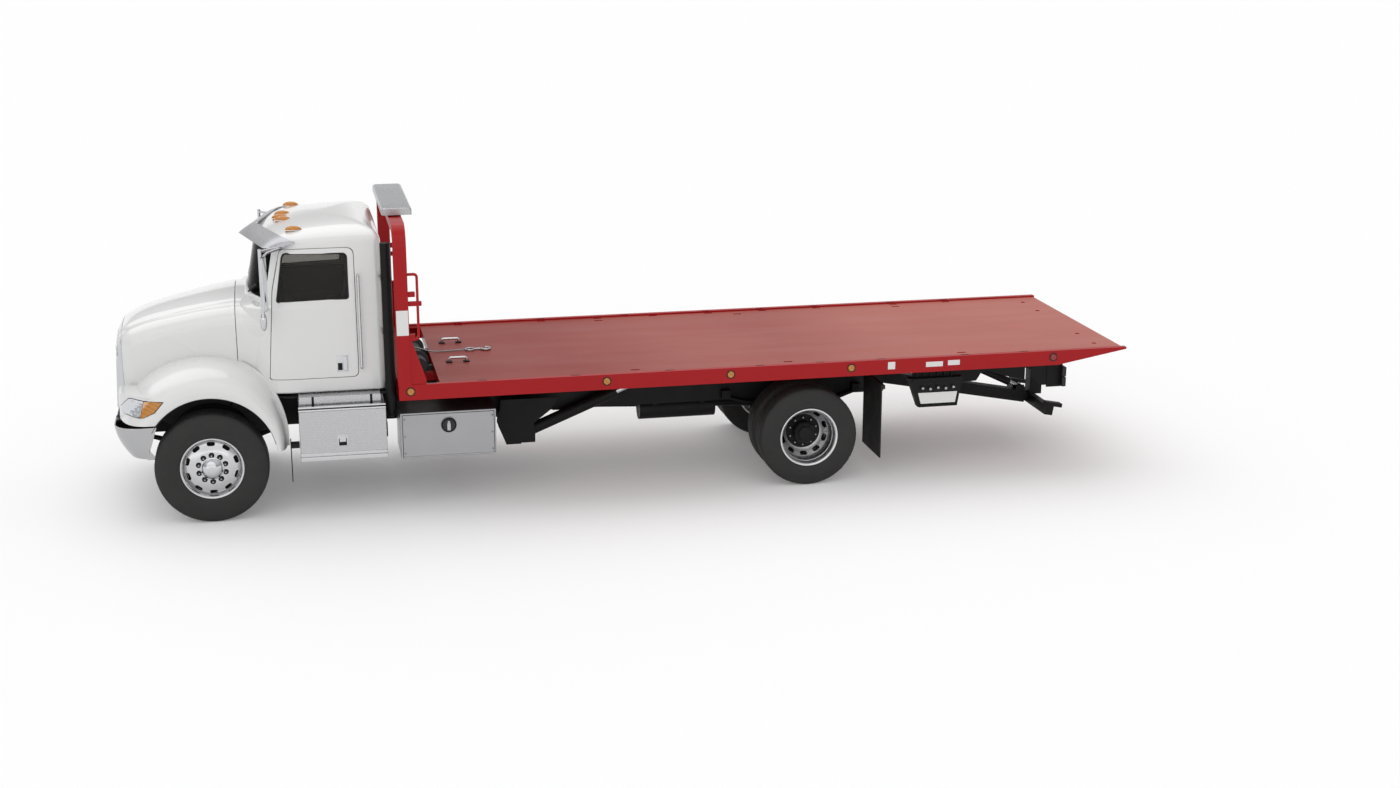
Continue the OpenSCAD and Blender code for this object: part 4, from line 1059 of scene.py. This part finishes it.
def make_rear_wheels(side, name):
    """Twin tyres, two rims that face away from each other, and the hub, flange, drum and nuts."""
    body = "rear_" + name + "_wheels"
    outer = wheel_place(rear_x, outer_y, rear_r, side)
    inner = wheel_place(rear_x, outer_y - twin_gap, rear_r, side)
    facing_in = (inner[0], lambda out, r, turn: inner[1](-out, r, turn))
    make_tyre("tyre_outer_" + name, outer, rear_r, rear_w, body, ["rear_" + name + "_tyres"])
    make_tyre("tyre_inner_" + name, inner, rear_r, rear_w, body, [])
    for part, wheel, stands_for in (("outer", outer, ["rear_" + name + "_rims"]), ("inner", facing_in, [])):
        make_rim("rim_" + part + "_" + name, rear_dish + rear_back, wheel, CAST_ALLOY, (-160, -40, 226), body,
                 stands_for)
    wheel_part("hub_rear_" + name, rear_hub, outer, BLACK, 64, body)
    wheel_part("flange_rear_" + name, rear_flange, outer, BLACK, 64, body)
    wheel_part("drum_rear_" + name, rear_drum, outer, BLACK, 48, body)
    make_nuts("nuts_rear_" + name, outer, body, side, 142, -146, -116)


# Cab dressing
def cab_side_y(x, z):
    """How far the cab's side stands from the middle at a place on it."""
    reach = [p for p in cab_ring(z) if p[1] > 300]
    before = max((p for p in reach[:40] if p[0] <= x), key=lambda p: p[0], default=reach[0])
    after = min((p for p in reach if p[0] > x and p[1] > 700), key=lambda p: p[0], default=reach[-1])
    span = after[0] - before[0]
    return before[1] + (after[1] - before[1]) * ((x - before[0]) / span if span else 0)


def make_cowl():
    """The fixed panel between the hood and the screen: the hood's own section carried back to the doors."""
    cowl_front, cowl_rear, cowl_foot, cowl_sink = hood_rear + 5, 585, 1200, 4
    base = hood_section(hood_rear, cowl_foot)
    rows = []
    for i in range(14):
        x = cowl_front + (cowl_rear - cowl_front) * i / 13
        grow = cab_plan(max(x, 300)) - hood_half_rear + 1
        rows.append(whole([at(x, -(y + grow * smoothstep(350, hood_half_rear, y)), z - cowl_sink)
                           for y, z in base]))
    sheet("cowl_skin", rows, WHITE, 14, 4, "chassis")


def make_screen():
    """The curved windscreen and the rear window."""
    half = [p for p in smooth_path(screen_plan, 5) if p[1] <= screen_half]
    rows = []
    for i in range(15):
        z = screen_low + (screen_high - screen_low) * i / 14
        lean = (z - screen_foot) * screen_rake
        rows.append(whole([at(p[0] + lean + screen_sink, -p[1] * cab_half(z) / cab_widest, z) for p in half]))
    sheet("windscreen", rows, SCREEN_GLASS, 6, 0, "chassis", ["cab_glass"])
    rear_line = round_corners([(-628, 2072), (-628, 2488), (628, 2488), (628, 2072)], 60)
    finish_piece(prism("rear_window", rear_line, front_place, cab_rear - 24, cab_rear - 18, GLASS), "chassis")


def make_door_trim(side, name):
    """Window seal, handle and inner panel of one door."""
    body = name + "_cab_door"
    seal = [(x, side * (cab_side_y(x, z) - 4), z) for x, z in round_corners(window_outline, window_radii)]
    tube("window_seal_" + name, seal + seal[:1], 9, RUBBER, body, 1)
    y = cab_side_y(1277, 1465)
    for part, look, edge, spans in (
            ("door_handle_", CHROME, 4, [((1224, 1330), (y - 2, y + 5), (1386, 1544))]),
            ("handle_paddle_", CHROME, 5, [((1282, 1322), (y + 4, y + 16), (1396, 1534))]),
            # Painted shade: the black well stands for the shade in the handle's recess
            ("handle_well_", BLACK, 1, [((1232, 1276), (y + 4, y + 6), (1398, 1470))]),
            ("door_lining_", GREY_PLASTIC, 12, [((700, 1400), (905, 922), (1380, 2060)),
                                                ((860, 1330), (850, 906), (1750, 1800))])):
        boxes(part + name, look, body, edge, spans, side)


def make_mirror(side, name):
    """Chrome arms with a tall mirror head seen edge on, and a bullet on the post's foot."""
    post_x, y = 560, side * 1105
    head_y, head_z, turned_in = 1106, 2300, 0.21
    top = (post_x, y, 2610)
    for part, path, radius in (
            ("post", [(post_x, y, 1860), (post_x, y, 1900), top, (post_x, y, 2634)], 17),
            ("stay", bent([(590, y, 2560), (620, side * 1080, 2590), (790, side * 915, 2610)], 60), 12),
            ("arm", bent([top, (600, side * 1070, 2612), (790, side * 905, 2610)], 40), 13),
            ("foot", [(post_x, y, 2024), (603, side * 909, 2024)], 13)):
        tube("mirror_" + part + "_" + name, path, radius, CHROME, "chassis", 0)

    def layer(outline, depth, share):
        return [at(depth + turned_in * (head_y - p[0]), side * (head_y + (p[0] - head_y) * share),
                   head_z + (p[1] - head_z) * share) for p in outline]

    head = round_corners([(1030, 2042), (1030, 2558), (1182, 2558), (1182, 2042)], 26)
    depths = ((574, 0.86), (577, 0.97), (582, 1.0), (592, 1.0), (597, 0.97))
    case = skinned("mirror_case_" + name, [layer(head, *d) for d in depths], CHROME, True, True)
    soften(case, 3)
    finish_piece(case, "chassis", ["mirrors"] if side < 0 else ())
    pane = round_corners([(1040, 2054), (1040, 2546), (1172, 2546), (1172, 2054)], 20)
    rows = [layer(pane, depth, 1.0) for depth in (596, 599)]
    finish_piece(skinned("mirror_glass_" + name, rows, MIRROR, True, True), "chassis")
    bullet = [(1850, 3), (1856, 14), (1880, 26), (1920, 32), (1960, 33), (1995, 28), (2012, 20), (2022, 14)]
    rows = []
    for i in range(33):
        a = math.tau * i / 32
        rows.append([at(post_x + r * math.cos(a), y + r * math.sin(a), z) for z, r in bullet])
    finish_piece(skinned("mirror_bullet_" + name, rows, CHROME), "chassis")


def make_visor():
    """A bright folded sheet: two flat halves that meet at the middle, and a tail round each cab side."""
    low = [(360, 0, 2600), (416, 225, 2602), (472, 450, 2603), (530, 680, 2605), (575, 860, 2606),
           (597, 915, 2607), (640, 945, 2609), (728, 963, 2616), (810, 968, 2631), (885, 970, 2650)]
    high = [(530, 0, 2694), (588, 210, 2696), (645, 420, 2698), (705, 635, 2700), (748, 790, 2702),
            (772, 850, 2700), (800, 898, 2694), (836, 937, 2682), (864, 960, 2668), (890, 971, 2656)]
    rows = []
    for k in range(7):
        t = k / 6
        bow = 10 * math.sin(math.pi * t)
        half = []
        for a, b in zip(low, high):
            x, y, z = (p + (q - p) * t for p, q in zip(a, b))
            half.append(at(x - bow * 0.5, -y, z + bow))
        rows.append(whole(half))
    sheet("visor_sheet", rows, SATIN, 5, 2, "chassis", ["sun_visor"], 24)


def roof_height(x, y):
    """The height of the roof's skin over a place."""
    edge = cab_ring(roof_edge)
    half = max(p[1] for p in edge)
    front = min((p for p in edge if p[0] <= 1200), key=lambda p: abs(p[1] - abs(y)))[0]
    share = max(abs(y) / half, (roof_mid - x) / (roof_mid - front if x < roof_mid else roof_mid - cab_rear))
    return roof_edge + (roof_top(x) - roof_edge) * max(1 - share ** 3, 0) ** (1 / 3)


def make_roof_lamps():
    """Five amber teardrop lamps on the roof, on bright bases."""
    def pods(tilt, size, rings):
        def fill(made):
            for x, y in ((865, -705), (775, -165), (748, 0), (775, 165), (865, 705)):
                matrix = (Matrix.Translation(at(x + 20, y, roof_height(x, y)))
                          @ Matrix.Rotation(math.radians(tilt), 4, "Y") @ Matrix.Diagonal((*size, 1)))
                bmesh.ops.create_uvsphere(made, u_segments=24, v_segments=rings, radius=1, matrix=matrix)
        return fill

    built("roof_lamp_lenses", pods(4, (0.082, 0.04, 0.042), 14), AMBER, "chassis", 0, ["roof_lamps"])
    built("roof_lamp_bases", pods(0, (0.088, 0.046, 0.01), 10), CHROME, "chassis", 0)


def make_cab_handles():
    """Grab rails behind the doors and wipers at the foot of the screen."""
    rail_x, rail_low, rail_high = 1458, 1415, 2322
    wall = cab_side_y(rail_x, 1900)
    for side, name in SIDES:
        y = side * (wall + 42)
        path = bent([(rail_x, side * (wall - 4), rail_low), (rail_x, y, rail_low), (rail_x, y, rail_high),
                     (rail_x, side * 940, rail_high)], 30)
        tube("grab_rail_" + name, path, 13, CHROME, "chassis", 0)
        arm = [(430, side * 300, 2066), (452, side * 420, 2110), (470, side * 640, 2180)]
        tube("wiper_arm_" + name, arm, 8, BLACK, "chassis")
        blade = [(430, side * 430, 2098), (452, side * 600, 2160), (510, side * 740, 2230)]
        tube("wiper_blade_" + name, blade, 9, RUBBER, "chassis")


# Bed dressing
rail_face, rail_mid, side_top, deck_top = 1295.5, 1232, 1298, 1281
amber_lamps, red_lamps = [1896, 3798, 5040, 6280], [8431]
slot_places = (2106, 2589, 3499, 4430, 5350, 5971, 6600, 7492, 8126)
# Blank labels on the side rail: x, z, width and height
labels = ((6701, 1234, 76, 76), (7154, 1226, 180, 52), (7360, 1232, 126, 52))


def make_rail_lamps():
    """Round marker lamps in rubber rings along both side rails."""
    lens_shape = (37, 14, 28, 30)
    for name, look, edge, segments, places, sink, shape in (
            ("rail_lamp_rings", RUBBER, 3, 2, amber_lamps + red_lamps, 4, (46, 9, 32, 43)),
            ("rail_lamp_amber", AMBER, 4, 3, amber_lamps, 2, lens_shape),
            ("rail_lamp_red", RED_LENS, 4, 3, red_lamps, 2, lens_shape)):
        spots = [(x, side * (rail_face - sink), rail_mid) for x in places for side, _ in SIDES]
        discs(name, look, "bed", edge, spots, shape, segments)


def make_reflectors():
    """Reflectors on the headboard's posts, blank labels on the rails, and slots in the rails' tops."""
    out = (rail_face - 1, rail_face + 1.5)
    plates = [((1786, 1899), out, (1785, 2028))]
    plates += [((x - w / 2, x + w / 2), out, (z - h / 2, z + h / 2)) for x, z, w, h in labels]
    boxes("post_reflectors", PANEL_WHITE, "bed", 1, on_both(plates))
    # Painted shade: black patches stand for the dark insides of the slots
    slots = [((x - 42, x + 42), (1238, 1256), (side_top - 2, side_top + 1)) for x in slot_places]
    boxes("rail_slots", BLACK, "bed", 0, on_both(slots))


def make_guard_loops():
    """Latch blocks on the guard loops behind the headboard's posts."""
    out = (1240, 1276)
    blocks = [((1905, 2032), out, (2062, 2106)), ((1905, 1972), out, (2150, 2200)),
              ((1905, 1962), out, (1722, 1790))]
    for side, name in SIDES:
        boxes("guard_blocks_" + name, RED, "bed", 5, blocks, side)


def make_deck_rings():
    """Two bright shackles that stand on the deck behind the winch."""
    front, rear, out, foot_high = 2345, 2520, 410, deck_top + 10
    feet = [(x, (out - 32, out + 32), (deck_top, foot_high)) for x in ((2315, 2378), (2488, 2550))]
    for side, name in SIDES:
        y = side * out
        path = bent([(front, y, deck_top + 2), (front, y, deck_top + 44), (rear, y, deck_top + 44),
                     (rear, y, deck_top + 2)], 26)
        ring = tube("deck_ring_" + name, path, 13, POLISHED, "bed", 0)
        if side < 0:
            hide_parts("deck_rings")
        boxes("deck_ring_feet_" + name, BLACK, "bed", 3, feet, side)


def make_light_bar():
    """A crinkled silver light bar with rounded edges, on two feet."""
    x0, x1, z0, z1, half = 1717, 2010, 2845, 2916, 760
    mid_x, mid_z = (x0 + x1) / 2, (z0 + z1) / 2
    outline = round_corners([(x0, z0), (x0, z1), (x1, z1), (x1, z0)], [10, 34, 34, 10], 8)
    rows = []
    for y, share in ((-half, 0.9), (-half + 8, 0.96), (-half + 22, 0.99), (-half + 40, 1.0), (-300, 1.0),
                     (0, 1.0)):
        rows.append([at(mid_x + (p[0] - mid_x) * share, y, mid_z + (p[1] - mid_z) * share) for p in outline])
    rows += [mirrored(row) for row in reversed(rows[:-1])]
    finish_piece(skinned("light_bar_case", rows, CRINKLED, True, True), "bed", ["light_bar"])
    boxes("light_bar_feet", BLACK, "bed", 2, on_both([((1800, 1880), (440, 520), (2834, 2850))]))


# Sides and tail
step_front, step_rear, step_face = 835, 1660, 1180
web_outline = [(7600, 1014), (8478, 1014), (8478, 770), (8318, 806), (8040, 895), (7985, 880), (7930, 790),
               (7600, 775)]
cheek_outline = [(8478, 1014), (8905, 1014), (8905, 905), (8870, 700), (8660, 700), (8545, 800), (8545, 900),
                 (8478, 900)]
gusset_outline = [(2830, 911), (3420, 911), (3328, 775), (3165, 650), (3176, 559), (3173, 450), (2880, 450),
                  (2800, 640)]
control_outline = [(7052, 790), (7420, 790), (7440, 905), (7022, 905)]


def make_step_box():
    """A tread plate box with a rolled nose, a recessed upper riser, straps, a lower lip and a latch."""
    f, wide = step_face, (step_front, step_rear)
    nose, lip = (step_front - 4, step_rear + 2), (step_front - 2, step_rear + 4)
    straps = [((x - 11, x + 11), (1090, 1112), (1076, 1180)) for x in (974, 1528)]
    straps += [(wide, (f - 30, f + 1), (1074, 1086)),
               ((step_rear - 2, step_rear + 12), (900, f - 30), (760, 900))]
    for part, look, edge, segments, spans, stands_for in (
            ("box_body", TREAD, 5, 2, [(wide, (645, f), (606, 1056))], ["step_box"]),
            ("nose", POLISHED, 8, 4, [(nose, (1100, f + 10), (1056, 1076)),
                                      (nose, (f - 40, f + 4), (1084, 1104))], ()),
            ("riser", TREAD, 3, 2, [((step_front + 8, step_rear - 40), (640, 1105), (1076, 1180))], ()),
            ("straps", BLACK, 2, 2, straps, ()),
            ("lip", POLISHED, 6, 3, [(lip, (1140, f + 26), (566, 608)),
                                     (lip, (1140, f + 8), (606, 640))], ()),
            ("latch", POLISHED, 3, 2, [((1186, 1290), (f - 5, f + 5), (696, 818))], ()),
            # Painted shade: the black latch well stands for the shade in the latch's recess
            ("latch_well", BLACK, 1, 2, [((1200, 1276), (f, f + 7), (706, 776))], ()),
            ("latch_paddle", POLISHED, 4, 2, [((1206, 1270), (f, f + 12), (742, 806))], ())):
        boxes("step_" + part, look, "chassis", edge, spans, -1, stands_for, segments)


def make_box_trim():
    """Paddle locks and rivets of the tool boxes' doors."""
    lock_x, lock_z = 2255, 858
    for side, name in SIDES:
        body = name + "_box_door"
        y = max(abs(corner[1]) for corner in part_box(body)) * 1000

        def handle(made):
            add_box(made, (2238, 2272), sorted((side * (y + 5), side * (y + 14))), (806, 880))
            add_disc(made, (lock_x, side * (y + 6), 890), (0, side, 0), 13, 9, 20)

        discs("box_lock_ring_" + name, BLACK, body, 2, [(lock_x, side * (y - 1), lock_z)], (76, 7, 40, 72))
        discs("box_lock_dish_" + name, PLASTIC, body, 1, [(lock_x, side * (y + 5), lock_z)], (58, 3, 40))
        built("box_lock_handle_" + name, handle, SATIN, body, 3)
        rivets = [(x, side * (y - 1), z) for x in (1830, 2680) for z in (590, 760, 930)]
        discs("box_rivets_" + name, BRUSHED, body, 0, rivets, (7, 4, 12, 4))


def make_control_panels():
    """White blank plates in the control boxes, frame bars above and below them, and lever knobs."""
    face = 1205
    out = (face - 1, face + 14)
    bars = [((6960, 7470), out, (1030, 1060)), ((7030, 7440), out, (756, 776))]
    for side, name in SIDES:
        def knobs(made):
            for i in range(5):
                x, z = 7060 + 82 * i, 962 - 10 * (i % 2)
                add_disc(made, (x, side * (face - 1), z), (0, side, 0), 9, 26, 16)
                bmesh.ops.create_uvsphere(made, u_segments=16, v_segments=10, radius=0.017,
                                          matrix=Matrix.Translation(at(x, side * (face + 30), z)))

        plate("control_plate_" + name, control_outline, side, (face - 2, face + 3), PANEL_WHITE, "subframe",
              2)
        boxes("control_frame_" + name, BLACK, "subframe", 4, bars, side)
        built("control_knobs_" + name, knobs, SATIN, "subframe", 0)


def make_stack():
    """The black exhaust stack behind the cab, with its elbow, clamps and hoses; their black is partly painted
    shade.
    """
    # Painted shade: the black stack and hoses also darken the gap behind the cab, which lies in shade
    x, y = 1720, -1058
    tube("stack", [(x, y, 1010), (x, y, 2640)], 50, BLACK, "chassis", 0)
    tube("stack_elbow", bent([(x, y, 1040), (x, y, 960), (x, -700, 930)], 60), 40, BLACK, "chassis", 0)
    for i, hose in enumerate((-880, -820, -760)):
        path = [(1716, hose, 980), (1722, hose, 1120), (1712, hose, 1300), (1692, hose, 1420 + 60 * i)]
        tube("cab_hose_" + str(i), path, 13, RUBBER, "chassis")

    def clamps(made):
        for z in (1240, 1760, 2280):
            add_disc(made, (x, y, z), (0, 0, 1), 54, 30, 32)
            add_box(made, (1680, 1706), (-1030, -880), (z, z + 30))

    built("stack_clamps", clamps, BLACK, "chassis", 2)


def make_tail_housings():
    """Black boxes round the tail lamps, the plates that carry them, and plates over the control boxes."""
    lamps = [((8878, 8923), (388, 512), (z - 51, z + 51)) for z in (740, 850)]
    boxes("tail_housings", PLASTIC, "subframe", 4, on_both(lamps))
    for side, name in SIDES:
        plate("tail_web_" + name, web_outline, side, (428, 446), BLACK, "subframe")
        plate("tail_cheek_" + name, cheek_outline, side, (428, 446), BLACK, "subframe")
        back = [((6967, 7457), (1146, 1158), (1056, 1122))]
        boxes("control_back_" + name, BLACK, "subframe", 2, back, side)


def make_gussets():
    """Outer plates of the tilt cylinders' feet, and the wheel lift's upright."""
    for side, name in SIDES:
        plate("tilt_gusset_" + name, gusset_outline, side, (588, 604), BLACK, "chassis")
    upright = [((8696, 8830), (-75, 75), (500, 775)), ((8690, 8850), (-95, 95), (760, 785))]
    boxes("lift_upright", BLACK, "lift_crossbar", 4, upright)


def make_box_top_shade():
    """Black sheets on top of the tool boxes: painted shade under the deck's edge."""
    low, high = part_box("tool_boxes")
    far, top = high[1] * 1000 - 1, high[2] * 1000
    x0, x1 = ((v - axle_x) * 1000 for v in (low[0], high[0]))
    boxes("box_top_shade", RUBBER, "chassis", 1, on_both([((x0 + 1, x1 - 1), (625, far), (top - 1, top + 4))]))


def make_rope():
    """The winch rope on its route."""
    radius, steps = 7, 6
    route = [(2040, 0, 1351), (2110, 3, 1330), (2180, 8, 1304), (2250, 14, 1292), (2340, 22, 1290),
             (2440, 32, 1291), (2547, 42, 1293)]
    rope = tube("rope", route, radius, ROPE, "bed", steps)
    path = [at(*p) for p in smooth_path(route, steps)]
    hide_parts("winch_rope")


# Studio
def seen_directly(n):
    """One where the camera, a reflection or a view through glass meets a surface, and nothing for light."""
    path = n.node("ShaderNodeLightPath").outputs
    shown = n.math("MAXIMUM", path["Is Camera Ray"], path["Is Glossy Ray"])
    return n.math("MAXIMUM", shown, path["Is Transmission Ray"])


def make_floor():
    """A wide white floor that takes the truck's shadow."""
    made = bmesh.new()
    bmesh.ops.create_grid(made, x_segments=1, y_segments=1, size=400)
    s = Shader("floor_white", Base_Color=(0.8, 0.8, 0.8), Roughness=1.0, Specular_IOR_Level=0.0,
               Emission_Color=(1.0, 1.0, 1.0))
    s.link(s.math("MULTIPLY", seen_directly(s), 0.16), "Emission Strength")
    from_bmesh("floor", made, s.material)


def make_light():
    """A pale dome with a white horizon that only views show, and broad lamps behind and in front."""
    world = bpy.data.worlds.new("studio")
    bpy.context.scene.world = world
    world.use_nodes = True
    n = Nodes(world.node_tree)
    up = n.node("ShaderNodeSeparateXYZ", Vector=n.node("ShaderNodeTexCoord").outputs["Generated"]).outputs[2]
    dome = n.span(up, 0.26, 0.78, 0.0, 0.75)
    horizon = n.math("MULTIPLY", n.span(up, 1.0, 0.0, 0.14, 0.2), seen_directly(n))
    background = n.tree.nodes["Background"]
    background.inputs["Color"].default_value = (1, 1, 1, 1)
    n.tree.links.new(n.math("MAXIMUM", dome, horizon), background.inputs["Strength"])
    for name, aim, spread, power in (("key", (-2, 5, 9), 70, 0.95), ("fill", (-2, -9, 4), 80, 0.75)):
        lamp = bpy.data.lights.new(name, "SUN")
        lamp.angle = math.radians(spread)
        lamp.energy = power
        put(name, lamp).rotation_euler = (-Vector(aim)).to_track_quat("-Z", "Y").to_euler()


for make in (make_camera, make_rope, make_floor, make_light, make_hood, make_grille, make_cab, make_cowl,
             make_screen, make_visor, make_roof_lamps, make_cab_handles, make_rail_lamps, make_reflectors,
             make_guard_loops, make_deck_rings, make_light_bar, make_bumper, make_liners, make_step_box,
             make_box_trim, make_control_panels, make_stack, make_tail_housings, make_box_top_shade, make_gussets):
    make()
for side, name in SIDES:
    for make in (make_fender, make_door_trim, make_mirror, make_front_wheel, make_rear_wheels):
        make(side, name)
make_headlamps()

# Colour view
bpy.context.scene.view_settings.view_transform = "Standard"
